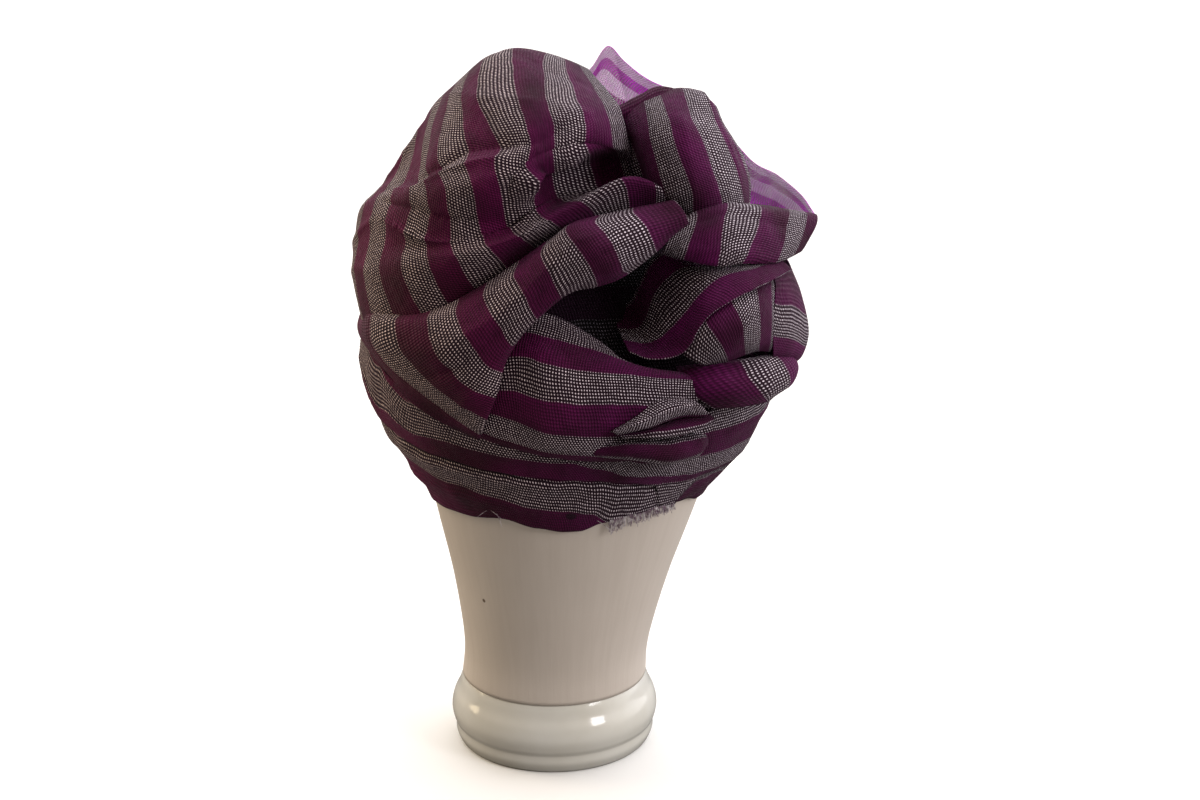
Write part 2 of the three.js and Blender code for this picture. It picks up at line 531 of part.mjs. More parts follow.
// The tall petal on the right. Its left side curls in towards the pocket, and its back goes over.
const RIGHT_UPPER_PETAL = [
  { inside: [46, -46, 344], curl: [56, -70, 344], inner: [62, -76, 341], middle: [79, -80, 338],
    outer: [95, -70, 338], back: [109, -46, 336], edge: [114, -18, 334] },
  { inside: [40, -40, 358], curl: [53, -70, 354], inner: [58, -83, 355], middle: [76, -92, 356],
    outer: [91, -84, 356], back: [105, -56, 352], edge: [114, -20, 348] },
  { inside: [35, -35, 372], curl: [47, -62, 372], inner: [52, -76, 376], middle: [69, -90, 375],
    outer: [84, -84, 375], back: [98, -58, 372], edge: [108, -22, 366] },
  { inside: [33, -30, 384], curl: [42, -54, 382], inner: [50, -66, 387], middle: [65, -76, 391],
    outer: [77, -74, 390], back: [91, -52, 387], edge: [98, -20, 382] },
  { inside: [32, -20, 390], curl: [38, -40, 388], inner: [49, -45, 396], middle: [61, -44, 401],
    outer: [73, -42, 403], back: [85, -32, 400], edge: [93, -10, 391] },
  { inside: [34, 0, 384], curl: [40, -14, 384], inner: [52, -10, 390], middle: [63, -6, 392],
    outer: [74, 0, 390], back: [85, 6, 383], edge: [91, 12, 374] },
  { inside: [40, 16, 366], curl: [46, 10, 366], inner: [55, 16, 368], middle: [65, 20, 368],
    outer: [75, 22, 364], back: [84, 24, 357], edge: [90, 26, 348] },
];
layPiece('right_upper_petal', layCloth(RIGHT_UPPER_PETAL, 9, 8));

// The sheet that stands up behind: a fan with a peak at the middle that runs down to the right corner.
const BACK_FAN = [
  { edge: [6, 46, 398], upper: [6, 48, 386], middle: [6, 52, 370], tuck: [6, 58, 352] },
  { edge: [22, 42, 407], upper: [20, 45, 394], middle: [19, 50, 374], tuck: [19, 58, 352] },
  { edge: [33, 40, 421], upper: [30, 43, 405], middle: [28, 49, 380], tuck: [28, 58, 352] },
  { edge: [43, 40, 412], upper: [40, 44, 398], middle: [38, 50, 376], tuck: [38, 58, 350] },
  { edge: [58, 42, 401], upper: [55, 46, 389], middle: [54, 51, 370], tuck: [52, 58, 346] },
  { edge: [86, 40, 389], upper: [82, 44, 377], middle: [79, 50, 358], tuck: [76, 56, 334] },
  { edge: [102, 30, 373], upper: [101, 36, 363], middle: [98, 43, 344], tuck: [95, 50, 322] },
  { edge: [118, 20, 356], upper: [116, 26, 346], middle: [113, 34, 328], tuck: [110, 42, 308] },
  { edge: [133, 12, 348], upper: [131, 17, 339], middle: [129, 24, 322], tuck: [125, 31, 308] },
  { edge: [145, 4, 339], upper: [143, 8, 332], middle: [140, 14, 318], tuck: [134, 20, 308] },
  { edge: [152, -12, 329], upper: [150, -7, 325], middle: [146, 0, 314], tuck: [140, 8, 310] },
];
layPiece('back_fan', layCloth(BACK_FAN, 15, 4));

// The crown: the first turns of the cloth over the head, pleated round the back and closed on top.
const CROWN_RINGS = [
  { up: 226, centre: 11, out: 2, across: 105, deep: 96 },
  { up: 246, centre: 11, out: 8, across: 106, deep: 93 },
  { up: 266, centre: 11, out: 15, across: 105, deep: 86 },
  { up: 286, centre: 12, out: 19, across: 102, deep: 75 },
  { up: 304, centre: 13, out: 21, across: 95, deep: 63 },
  { up: 320, centre: 14, out: 23, across: 83, deep: 52 },
  { up: 333, centre: 15, out: 25, across: 64, deep: 39 },
  { up: 342, centre: 15, out: 26, across: 40, deep: 25 },
  { up: 346, centre: 15, out: 26, across: 14, deep: 9 },
];
const CROWN_PLEATS = 9;
const CROWN_PLEAT_DEPTH = 3.2;
const CROWN_TWIST = 5.2; // radians that the pleats turn through on their way up
const CROWN_STEPS = 28;
const CROWN_LINES = 7;

function crownGrid() {
  const rings = CROWN_RINGS.map((ring) => Object.values(ring));
  const grid = [];
  for (let i = 0; i < CROWN_STEPS; i += 1) {
    const line = [];
    for (let j = 0; j <= CROWN_LINES; j += 1) {
      const rise = j / CROWN_LINES;
      const [up, centre, out, across, deep] = along(rings, rise * (rings.length - 1));
      const angle = (2 * Math.PI * i) / CROWN_STEPS;
      const sweep = CROWN_PLEATS * angle + CROWN_TWIST * rise;
      const pleat = CROWN_PLEAT_DEPTH * Math.cos(sweep) * Math.sin(Math.PI * rise);
      line.push(new THREE.Vector3(
        centre + (across + pleat) * Math.sin(angle),
        out - (deep + pleat) * Math.cos(angle),
        up,
      ));
    }
    grid.push(line);
  }
  return grid;
}
layPiece('crown_wrap', crownGrid(), true);

export default group;
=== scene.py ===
# A tied gele of striped open mesh cloth, resting on the plain vase-like stand that holds it.
# Metres in the scene; the tables give millimetres, +Z up and the front towards -Y.
import math
import random

import bmesh
import bpy
import numpy as np
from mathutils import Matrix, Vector, noise


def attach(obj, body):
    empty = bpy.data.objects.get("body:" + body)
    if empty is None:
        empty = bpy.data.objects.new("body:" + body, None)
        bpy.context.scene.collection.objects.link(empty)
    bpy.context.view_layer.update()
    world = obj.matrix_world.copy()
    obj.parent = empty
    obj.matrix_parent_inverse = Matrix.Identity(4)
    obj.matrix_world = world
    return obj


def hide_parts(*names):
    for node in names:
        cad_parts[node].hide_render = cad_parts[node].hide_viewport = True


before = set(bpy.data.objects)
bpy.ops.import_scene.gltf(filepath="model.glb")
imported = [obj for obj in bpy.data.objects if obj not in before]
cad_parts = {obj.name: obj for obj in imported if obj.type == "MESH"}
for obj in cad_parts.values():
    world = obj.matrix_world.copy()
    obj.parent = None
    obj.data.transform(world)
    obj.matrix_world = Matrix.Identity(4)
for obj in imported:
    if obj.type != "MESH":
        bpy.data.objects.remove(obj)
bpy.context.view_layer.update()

# Stand foot
# The foot is a hollow ceramic ring, turned with a bead and a full swell, and dipped in glossy white
# glaze. The body sits in its cove, and the flat underside rests on the table.
MM = 0.001
FOOT_HEIGHT = 42
FOOT_RADIUS = 64
WAIST_RADIUS = 57
TURNING_STEPS = 128
FOOT_LINE_STEPS = 60
GLAZE_THICK = (0.76, 0.75, 0.71, 1)
GLAZE_THIN = (0.68, 0.66, 0.60, 1)

# Height and radius of the foot's outline, from the underside up.
FOOT_PROFILE = [
    dict(up=0, radius=FOOT_RADIUS - 5.6),
    dict(up=1.5, radius=FOOT_RADIUS - 4.2),
    dict(up=6, radius=FOOT_RADIUS - 2.4),
    dict(up=10.5, radius=FOOT_RADIUS - 2.5),
    dict(up=12, radius=FOOT_RADIUS - 2.2),
    dict(up=15, radius=FOOT_RADIUS - 0.9),
    dict(up=21, radius=FOOT_RADIUS),
    dict(up=28, radius=FOOT_RADIUS - 1.5),
    dict(up=34, radius=FOOT_RADIUS - 4.4),
    dict(up=39, radius=WAIST_RADIUS + 0.8),
    dict(up=FOOT_HEIGHT, radius=WAIST_RADIUS - 0.5),
]


def curve_weights(places, steps):
    """Rows that blend a line of places into steps + 1 places on one smooth curve."""
    weights = np.zeros((steps + 1, places + 2))
    for row, at in enumerate(np.linspace(0, places - 1, steps + 1)):
        first = min(int(at), places - 2)
        t = at - first
        weights[row, first] = -t / 2 + t**2 - t**3 / 2
        weights[row, first + 1] = 1 - 2.5 * t**2 + 1.5 * t**3
        weights[row, first + 2] = t / 2 + 2 * t**2 - 1.5 * t**3
        weights[row, first + 3] = t**3 / 2 - t**2 / 2
    weights[:, 1] += 2 * weights[:, 0]
    weights[:, 2] -= weights[:, 0]
    weights[:, -2] += 2 * weights[:, -1]
    weights[:, -3] -= weights[:, -1]
    return weights[:, 1:-1]


def turned_piece(name, outline, lean=0.0, base=0.0, top=1.0):
    """A turned solid from its outline, (radius, height) in mm, its axis sheared to the right."""
    bm = bmesh.new()
    ring = [bm.verts.new((radius * MM, 0, up * MM)) for radius, up in outline]
    wire = [bm.edges.new(pair) for pair in zip(ring, ring[1:])]
    bmesh.ops.spin(
        bm, geom=ring + wire, cent=(0, 0, 0), axis=(0, 0, 1), dvec=(0, 0, 0),
        angle=2 * math.pi, steps=TURNING_STEPS, use_merge=True,
    )
    bmesh.ops.remove_doubles(bm, verts=bm.verts, dist=1e-6)
    bmesh.ops.recalc_face_normals(bm, faces=bm.faces)
    for vert in bm.verts:
        rise = max(vert.co.z / MM - base, 0) / (top - base)
        vert.co.x += lean * rise * MM
    for face in bm.faces:
        face.smooth = abs(face.normal.z) < 0.999
    mesh = bpy.data.meshes.new(name)
    bm.to_mesh(mesh)
    bm.free()
    piece = bpy.data.objects.new(name, mesh)
    bpy.context.scene.collection.objects.link(piece)
    return piece


def add_node(tree, kind, inputs=None, **settings):
    """A shader node with its settings, and its inputs linked or filled in."""
    made = tree.nodes.new(kind)
    for key, value in settings.items():
        setattr(made, key, value)
    for socket, value in (inputs or {}).items():
        if isinstance(value, bpy.types.NodeSocket):
            tree.links.new(value, made.inputs[socket])
        else:
            made.inputs[socket].default_value = value
    return made


def remap(tree, value, low, high, to_low, to_high, smooth=False):
    """Output of a node that maps one range of values onto another."""
    steps = {"Value": value, "From Min": low, "From Max": high, "To Min": to_low, "To Max": to_high}
    kind = "SMOOTHSTEP" if smooth else "LINEAR"
    return add_node(tree, "ShaderNodeMapRange", steps, interpolation_type=kind).outputs[0]


def blend_colours(tree, share, first, second):
    """Output of a node that mixes two colours."""
    made = add_node(tree, "ShaderNodeMix", data_type="RGBA")
    for socket, value in ((made.inputs[0], share), (made.inputs[6], first), (made.inputs[7], second)):
        if isinstance(value, bpy.types.NodeSocket):
            tree.links.new(value, socket)
        else:
            socket.default_value = value
    return made.outputs[2]


def new_finish(name, roughness, **constants):
    """A material whose surface shader has its constant sockets filled in."""
    material = bpy.data.materials.new(name)
    material.use_nodes = True
    shader = material.node_tree.nodes["Principled BSDF"]
    shader.inputs["Roughness"].default_value = roughness
    for socket, value in constants.items():
        shader.inputs[socket.replace("_", " ")].default_value = value
    return material, material.node_tree, shader


def white_glaze():
    """Glossy white glaze, cloudy and a little uneven where it ran."""
    material, tree, shader = new_finish("white_glaze", 0.13, Coat_Weight=0.4, Coat_Roughness=0.06)
    place = add_node(tree, "ShaderNodeTexCoord").outputs["Object"]
    cloudy = add_node(tree, "ShaderNodeTexNoise", {"Vector": place, "Scale": 24.0, "Detail": 3.0})
    share = remap(tree, cloudy.outputs["Fac"], 0.35, 0.7, 0.0, 1.0)
    colour = blend_colours(tree, share, GLAZE_THICK, GLAZE_THIN)
    tree.links.new(colour, shader.inputs["Base Color"])
    flow = add_node(tree, "ShaderNodeTexNoise", {"Vector": place, "Scale": 60.0, "Detail": 2.0})
    bump = add_node(tree, "ShaderNodeBump", {"Height": flow.outputs["Fac"], "Distance": 0.0002})
    tree.links.new(bump.outputs[0], shader.inputs["Normal"])
    return material


def smooth_outline(profile, steps):
    """Smooth outline, (radius, height) in mm, through the rows of a profile."""
    rows = np.array([[row["radius"], row["up"]] for row in profile])
    return curve_weights(len(profile), steps) @ rows


foot_line = smooth_outline(FOOT_PROFILE, FOOT_LINE_STEPS)
stand_foot = turned_piece("glazed_foot", [(0, 0), *foot_line, (0, FOOT_HEIGHT)])
stand_foot.data.materials.append(white_glaze())
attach(stand_foot, "root")
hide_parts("stand_foot")

# Stand body
# The body is a thin open vessel of cream ceramic, thrown and left matt, with faint upright wipe marks.
# It stands in the foot's cove, leans a little to the right and flares up into the head tie.
GAP = 0.35
STAND_WALL = 5
MOUTH_UP = 212
STAND_LEAN = 12
BODY_BASE = FOOT_HEIGHT + GAP
BODY_LINE_STEPS = 48
# The inner wall leaves out the first steps of the outline, which lie in the vessel's thick floor.
FLOOR_STEPS = 6
CREAM = (0.68, 0.61, 0.55, 1)
CREAM_DULL = (0.60, 0.53, 0.47, 1)
# One dark speck in the clay, in metres.
SPECK = (-0.0402, -0.0480, 0.1055)
SPECK_RADIUS = 0.0016
SPECK_BROWN = (0.16, 0.11, 0.08, 1)

# Height and radius of the body's outside, from the cove up to the mouth.
STAND_PROFILE = [
    dict(up=BODY_BASE, radius=WAIST_RADIUS),
    dict(up=60, radius=WAIST_RADIUS - 0.3),
    dict(up=82, radius=60),
    dict(up=113, radius=67),
    dict(up=146, radius=76.5),
    dict(up=180, radius=86),
    dict(up=MOUTH_UP, radius=94),
]


def reckon(tree, operation, *values):
    """Output of one arithmetic node."""
    return add_node(tree, "ShaderNodeMath", dict(enumerate(values)), operation=operation).outputs[0]


def cream_ceramic():
    """Matt cream ceramic with upright wipe marks, dull clouds, a fine grain and one speck."""
    material, tree, shader = new_finish("cream_ceramic", 0.72)
    place = add_node(tree, "ShaderNodeTexCoord").outputs["Object"]
    axes = add_node(tree, "ShaderNodeSeparateXYZ", {0: place}).outputs
    turn = reckon(tree, "ARCTAN2", axes[0], axes[1])
    wiped = add_node(tree, "ShaderNodeCombineXYZ", {0: turn, 1: reckon(tree, "MULTIPLY", axes[2], 1.1)})
    lines = add_node(
        tree, "ShaderNodeTexNoise", {"Vector": wiped.outputs[0], "Scale": 16.0, "Detail": 4.0}
    ).outputs["Fac"]
    cloudy = add_node(tree, "ShaderNodeTexNoise", {"Vector": place, "Scale": 11.0, "Detail": 4.0})
    wipe_marks = remap(tree, lines, 0.40, 0.72, 0.0, 0.32)
    clouds = remap(tree, cloudy.outputs["Fac"], 0.40, 0.7, 0.0, 0.6)
    colour = blend_colours(tree, reckon(tree, "ADD", wipe_marks, clouds), CREAM, CREAM_DULL)
    off = add_node(tree, "ShaderNodeVectorMath", {0: place, 1: SPECK}, operation="DISTANCE")
    speck = remap(tree, off.outputs["Value"], SPECK_RADIUS * 0.6, SPECK_RADIUS, 1.0, 0.0, smooth=True)
    colour = blend_colours(tree, speck, colour, SPECK_BROWN)
    tree.links.new(colour, shader.inputs["Base Color"])
    grain = add_node(tree, "ShaderNodeTexNoise", {"Vector": place, "Scale": 900.0, "Detail": 2.0})
    height = reckon(tree, "ADD", lines, reckon(tree, "MULTIPLY", grain.outputs["Fac"], 0.25))
    bump = add_node(tree, "ShaderNodeBump", {"Height": height, "Distance": 0.0004, "Strength": 0.35})
    tree.links.new(bump.outputs[0], shader.inputs["Normal"])
    return material


body_line = smooth_outline(STAND_PROFILE, BODY_LINE_STEPS)
inside_line = [(radius - STAND_WALL, up) for radius, up in body_line[:FLOOR_STEPS:-1]]
floor_up = BODY_BASE + STAND_WALL
stand_body = turned_piece(
    "cream_body",
    [(0, BODY_BASE), *body_line, *inside_line, (WAIST_RADIUS - STAND_WALL, floor_up), (0, floor_up)],
    lean=STAND_LEAN, base=BODY_BASE, top=MOUTH_UP,
)
stand_body.data.materials.append(cream_ceramic())
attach(stand_body, "root")
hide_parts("stand_body")

# Lower band
# The gele is one long strip of stiff open mesh, woven with purple stripes and metallic silver ones.
# The band is its first turn round the head. It comes from the raw end at the front right, and its
# upper part is tucked under the next turn.
STRIPE = 16
# The distance between threads, and how far the weft slants for each step across the stripes.
WEAVE_PITCH = 1.6
WEAVE_SKEW = 0.45
# The cloth as it is seen, and the wall that its folds leave room for.
CLOTH_THICKNESS = 0.6
CLOTH_WALL = 1.6
BAND_LAP = 3.4
# The lower band starts to sink this far below the upper one's fold, and is under it this far above.
LAP_BELOW = 8
LAP_ABOVE = 1
RAW_END_TURN = 45
# Degrees round the head from the raw end, and the steps of the band's mesh.
LOWER_BAND_TURNS = 262
LOWER_BAND_STEPS = 280
BAND_RISE_STEPS = 32
# Threads along the band are counted at this radius, in mm.
THREAD_COUNT_RADIUS = 108

# The band is an oval: its centre to the right, and its half width across and half depth, by height.
BAND_PROFILE = [
    dict(up=150, centre=8, across=80, deep=80),
    dict(up=158, centre=8, across=82.3, deep=82.3),
    dict(up=170, centre=8.9, across=88.2, deep=87),
    dict(up=183, centre=11, across=98, deep=93.5),
    dict(up=193, centre=11.9, across=106, deep=98.5),
    dict(up=203, centre=11.4, across=111.6, deep=102.5),
    dict(up=212, centre=10.4, across=115.6, deep=106),
    dict(up=222, centre=9.5, across=119.5, deep=109.5),
    dict(up=232, centre=8.8, across=121.8, deep=112),
    dict(up=245, centre=8, across=122.5, deep=112.5),
    dict(up=256, centre=7.5, across=119.5, deep=110),
    dict(up=270, centre=7, across=112, deep=103),
]

# Heights of both bands' edges and of the fold that laps over, at each turn from the front to the right.
BAND_EDGES = [
    dict(turn=0, lower_hem=161, lower_top=212, fold=197, upper_hem=197, upper_top=229),
    dict(turn=6, lower_hem=161, lower_top=211, fold=196, upper_hem=196, upper_top=229),
    dict(turn=15, lower_hem=166, lower_top=210, fold=194, upper_hem=194, upper_top=229),
    dict(turn=26, lower_hem=169, lower_top=207, fold=190, upper_hem=190, upper_top=230),
    dict(turn=37, lower_hem=170, lower_top=204, fold=187, upper_hem=172, upper_top=231),
    dict(turn=50, lower_hem=170, lower_top=200, fold=184, upper_hem=171, upper_top=233),
    dict(turn=64, lower_hem=166, lower_top=200, fold=178, upper_hem=166, upper_top=236),
    dict(turn=90, lower_hem=164, lower_top=200, fold=174, upper_hem=165, upper_top=240),
    dict(turn=150, lower_hem=162, lower_top=204, fold=172, upper_hem=164, upper_top=258),
    dict(turn=180, lower_hem=162, lower_top=214, fold=190, upper_hem=190, upper_top=262),
    dict(turn=240, lower_hem=162, lower_top=230, fold=212, upper_hem=212, upper_top=266),
    dict(turn=280, lower_hem=163, lower_top=236, fold=216, upper_hem=216, upper_top=262),
    dict(turn=320, lower_hem=164, lower_top=220, fold=204, upper_hem=204, upper_top=242),
    dict(turn=336, lower_hem=167, lower_top=214, fold=200, upper_hem=200, upper_top=234),
    dict(turn=350, lower_hem=163, lower_top=213, fold=198, upper_hem=198, upper_top=230),
]

# Soft folds that run up or down along the band, how wide they are and how far they stand out.
BAND_FOLDS = [
    dict(from_turn=190, from_up=182, to_turn=400, to_up=176, width=5, stand=2.2),
    dict(from_turn=230, from_up=206, to_turn=395, to_up=190, width=5, stand=2.4),
    dict(from_turn=60, from_up=186, to_turn=200, to_up=200, width=6, stand=2.6),
    dict(from_turn=20, from_up=212, to_turn=170, to_up=226, width=6, stand=2.6),
    dict(from_turn=100, from_up=168, to_turn=215, to_up=196, width=5, stand=2.0),
]

# Heights of the upper edges of the first four stripes round the band, at each turn.
BAND_STRIPES = [
    dict(turn=0, first=175.5, second=196, third=208, fourth=221),
    dict(turn=9, first=173, second=194, third=203.5, fourth=214),
    dict(turn=17, first=165.5, second=191.8, third=198.2, fourth=207),
    dict(turn=22, first=166, second=190.8, third=196, fourth=204.4),
    dict(turn=43.5, first=168, second=189.2, third=191.8, fourth=203),
    dict(turn=46, first=186, second=189, third=191.5, fourth=203),
    dict(turn=58, first=186, second=188, third=190.4, fourth=203),
    dict(turn=90, first=174, second=180, third=186, fourth=203),
    dict(turn=180, first=185, second=188, third=199, fourth=216),
    dict(turn=225, first=200, second=214, third=236, fourth=252),
    dict(turn=270, first=203, second=224.5, third=259, fourth=275),
    dict(turn=300, first=189.5, second=207, third=225, fourth=250),
    dict(turn=315, first=186, second=203, third=216, fourth=235),
]
# A sharp ridge follows the third of those edges over the left side and the front.
RIDGE_FROM_TURN = 235
RIDGE_TURNS = 165
RIDGE_WIDTH = 2.4
RIDGE_STAND = 1.5
# Dark thread catches the hem at one spot, in metres.
SEAM_TACK = (0.0123, -0.0880, 0.1715)
SEAM_TACK_SIZE = 0.0038
SEAM_THREAD = (0.006, 0.003, 0.006, 1)
# Painted light: the cloth's colours are tinted warm on its left side and cool on its right, as if warm
# light fell on the left and cool light on the right, between these places across.
WARM_SIDE = -0.12
COOL_SIDE = 0.06
WARM_SILVER, COOL_SILVER = (1.08, 0.97, 0.86, 1), (0.95, 0.97, 1.06, 1)
WARM_PURPLE, COOL_PURPLE = (1.12, 0.95, 0.78, 1), (0.95, 1.0, 1.22, 1)
DULL_THREAD, LUSTROUS_THREAD = (0.52, 0.48, 0.44, 1), (1.35, 1.3, 1.5, 1)


def striped_mesh_group():
    """Node group of the weave: stripes, threads and the dark ground between them."""
    tree = bpy.data.node_groups.new("striped mesh", "ShaderNodeTree")
    for name, kind, value in (
        ("Threads", "NodeSocketVector", None),
        ("Place", "NodeSocketVector", None),
        ("Purple", "NodeSocketColor", (0.07, 0.006, 0.045, 1)),
        ("Silver", "NodeSocketColor", (0.55, 0.50, 0.52, 1)),
        ("Ground", "NodeSocketColor", (0.010, 0.004, 0.007, 1)),
        ("Openness", "NodeSocketFloat", 0.0),
    ):
        socket = tree.interface.new_socket(name, in_out="INPUT", socket_type=kind)
        if value is not None:
            socket.default_value = value
    for name, kind in (
        ("Color", "NodeSocketColor"), ("Alpha", "NodeSocketFloat"),
        ("Roughness", "NodeSocketFloat"), ("Height", "NodeSocketFloat"),
    ):
        tree.interface.new_socket(name, in_out="OUTPUT", socket_type=kind)
    given = tree.nodes.new("NodeGroupInput").outputs
    wander = add_node(
        tree, "ShaderNodeTexNoise", {"Vector": given["Threads"], "Scale": 0.045, "Detail": 2.0}
    )
    drift = add_node(
        tree, "ShaderNodeVectorMath", {0: wander.outputs["Color"], 1: (0.5, 0.5, 0.5)},
        operation="SUBTRACT",
    )
    moved = add_node(
        tree, "ShaderNodeVectorMath", {0: drift.outputs[0], 1: (3.0, 5.0, 0.0), 2: given["Threads"]},
        operation="MULTIPLY_ADD",
    )
    axes = add_node(tree, "ShaderNodeSeparateXYZ", {0: moved.outputs[0]}).outputs
    wave = reckon(tree, "SINE", reckon(tree, "MULTIPLY", axes[0], -math.pi / STRIPE))
    silver_mask = remap(tree, wave, -0.07, 0.07, 0.0, 1.0, smooth=True)
    turns = 2 * math.pi / WEAVE_PITCH
    skewed = reckon(tree, "MULTIPLY_ADD", axes[0], WEAVE_SKEW, axes[1])
    weft_wave = reckon(tree, "COSINE", reckon(tree, "MULTIPLY", skewed, turns))
    warp_wave = reckon(tree, "COSINE", reckon(tree, "MULTIPLY", axes[0], turns))
    weft = reckon(tree, "MULTIPLY_ADD", weft_wave, 0.5, 0.5)
    warp = reckon(tree, "MULTIPLY_ADD", warp_wave, 0.5, 0.5)
    fine = add_node(
        tree, "ShaderNodeTexNoise", {"Vector": given["Threads"], "Scale": 0.55, "Detail": 1.0}
    ).outputs["Fac"]
    patchy = add_node(
        tree, "ShaderNodeTexNoise", {"Vector": given["Threads"], "Scale": 0.09, "Detail": 2.0}
    ).outputs["Fac"]
    glints = remap(tree, fine, 0.32, 0.68, 0.5, 1.45)
    bright = reckon(tree, "MULTIPLY", glints, remap(tree, patchy, 0.3, 0.7, 0.75, 1.15))
    dots = reckon(tree, "MULTIPLY", weft, reckon(tree, "MULTIPLY_ADD", warp, 0.84, 0.16))
    shown_from = reckon(tree, "MULTIPLY_ADD", given["Openness"], -0.45, 0.38)
    lit = reckon(tree, "MULTIPLY", remap(tree, dots, shown_from, 0.94, 0.0, 1.0, smooth=True), bright)
    share = add_node(tree, "ShaderNodeClamp", {0: lit}).outputs[0]
    across = add_node(tree, "ShaderNodeSeparateXYZ", {0: given["Place"]}).outputs[0]
    # Painted light: a warm tint on the left and a cool one on the right, multiplied into both thread
    # colours.
    painted_light_coolness = remap(tree, across, WARM_SIDE, COOL_SIDE, 0.0, 1.0, smooth=True)
    painted_light_on_silver = blend_colours(tree, painted_light_coolness, WARM_SILVER, COOL_SILVER)
    painted_light_on_purple = blend_colours(tree, painted_light_coolness, WARM_PURPLE, COOL_PURPLE)
    sheen = add_node(
        tree, "ShaderNodeTexNoise", {"Vector": given["Place"], "Scale": 17.0, "Detail": 3.0}
    ).outputs["Fac"]
    shiny = remap(tree, sheen, 0.36, 0.64, 0.0, 1.0)
    lustre = blend_colours(tree, shiny, DULL_THREAD, LUSTROUS_THREAD)
    purple_with_painted_light = add_node(
        tree, "ShaderNodeVectorMath", {0: given["Purple"], 1: painted_light_on_purple}, operation="MULTIPLY"
    ).outputs[0]
    purple = add_node(
        tree, "ShaderNodeVectorMath", {0: purple_with_painted_light, 1: lustre}, operation="MULTIPLY"
    ).outputs[0]
    silver = add_node(
        tree, "ShaderNodeVectorMath", {0: given["Silver"], 1: painted_light_on_silver}, operation="MULTIPLY"
    ).outputs[0]
    backing = add_node(
        tree, "ShaderNodeVectorMath", {0: given["Ground"], 1: (2.6, 4.0, 3.2)}, operation="MULTIPLY"
    ).outputs[0]
    silver_cloth = blend_colours(tree, share, backing, silver)
    covered = remap(tree, dots, 0.0, 0.8, 0.42, 1.0)
    thread_share = reckon(tree, "MULTIPLY", covered, remap(tree, patchy, 0.3, 0.7, 0.8, 1.15))
    purple_cloth = blend_colours(tree, thread_share, given["Ground"], purple)
    colour = blend_colours(tree, silver_mask, purple_cloth, silver_cloth)
    off = add_node(
        tree, "ShaderNodeVectorMath", {0: given["Place"], 1: SEAM_TACK}, operation="DISTANCE"
    ).outputs["Value"]
    tacked = remap(tree, off, SEAM_TACK_SIZE * 0.6, SEAM_TACK_SIZE, 0.75, 0.0, smooth=True)
    colour = blend_colours(tree, tacked, colour, SEAM_THREAD)
    thread = reckon(tree, "MAXIMUM", weft, warp)
    hole = reckon(tree, "MULTIPLY", remap(tree, thread, 0.5, 0.8, 1.0, 0.0), given["Openness"])
    taken = tree.nodes.new("NodeGroupOutput").inputs
    tree.links.new(colour, taken["Color"])
    tree.links.new(reckon(tree, "SUBTRACT", 1.0, hole), taken["Alpha"])
    tree.links.new(remap(tree, share, 0.0, 1.0, 0.8, 0.5), taken["Roughness"])
    tree.links.new(reckon(tree, "ADD", weft, warp), taken["Height"])
    return tree


mesh_group = striped_mesh_group()


def mesh_cloth(name, purple, silver, ground, openness, crumple=0.6, shaded_to=None):
    """A finish of the striped mesh with its own colours and openness. Forward of shaded_to, in metres
    back from the middle, its colour is darkened as painted shade."""
    material, tree, shader = new_finish(
        name, 0.6, Specular_IOR_Level=0.14, Sheen_Weight=0.05, Sheen_Roughness=0.3,
        Sheen_Tint=(1.0, 0.6, 0.9, 1),
    )
    threads = add_node(tree, "ShaderNodeUVMap", uv_map="threads").outputs[0]
    place = add_node(tree, "ShaderNodeTexCoord").outputs["Object"]
    weave = add_node(tree, "ShaderNodeGroup", node_tree=mesh_group)
    tree.links.new(threads, weave.inputs["Threads"])
    tree.links.new(place, weave.inputs["Place"])
    weave.inputs["Purple"].default_value = (*purple, 1)
    weave.inputs["Silver"].default_value = (*silver, 1)
    weave.inputs["Ground"].default_value = (*ground, 1)
    weave.inputs["Openness"].default_value = openness
    colour = weave.outputs["Color"]
    if shaded_to is not None:
        depth = add_node(tree, "ShaderNodeSeparateXYZ", {0: place}).outputs[1]
        unshaded_share = remap(tree, depth, shaded_to - 0.03, shaded_to, 0.0, 1.0, smooth=True)
        # Painted shade: forward of shaded_to the colour is multiplied down to about a sixth.
        painted_shade_colour = add_node(
            tree, "ShaderNodeVectorMath", {0: colour, 1: (0.16, 0.16, 0.18)}, operation="MULTIPLY"
        ).outputs[0]
        colour = blend_colours(tree, unshaded_share, painted_shade_colour, colour)
    tree.links.new(colour, shader.inputs["Base Color"])
    tree.links.new(weave.outputs["Roughness"], shader.inputs["Roughness"])
    if openness > 0:
        tree.links.new(weave.outputs["Alpha"], shader.inputs["Alpha"])
    soft = add_node(tree, "ShaderNodeTexNoise", {"Vector": place, "Scale": 85.0, "Detail": 3.0})
    creased = add_node(
        tree, "ShaderNodeBump",
        {"Height": soft.outputs["Fac"], "Distance": 0.004, "Strength": crumple},
    )
    woven = add_node(
        tree, "ShaderNodeBump",
        {"Height": weave.outputs["Height"], "Distance": 0.0003, "Normal": creased.outputs[0]},
    )
    tree.links.new(woven.outputs[0], shader.inputs["Normal"])
    return material


outer_mesh = mesh_cloth(
    "outer_mesh", purple=(0.105, 0.0035, 0.050), silver=(1.0, 0.85, 0.88),
    ground=(0.008, 0.002, 0.005), openness=0.0,
)


def unit_normals(grid):
    """Unit normals of a grid of places, one at each place."""
    normals = np.cross(np.gradient(grid, axis=0), np.gradient(grid, axis=1))
    return normals / np.maximum(np.linalg.norm(normals, axis=2, keepdims=True), 1e-9)


def rumple(grid, depth, size):
    """The grid moved in and out by soft noise, as stiff mesh cloth never lies quite even."""
    lumps = np.array([[noise.noise(Vector(place) / size) for place in line] for line in grid])
    return grid + unit_normals(grid) * (lumps * depth)[:, :, None]


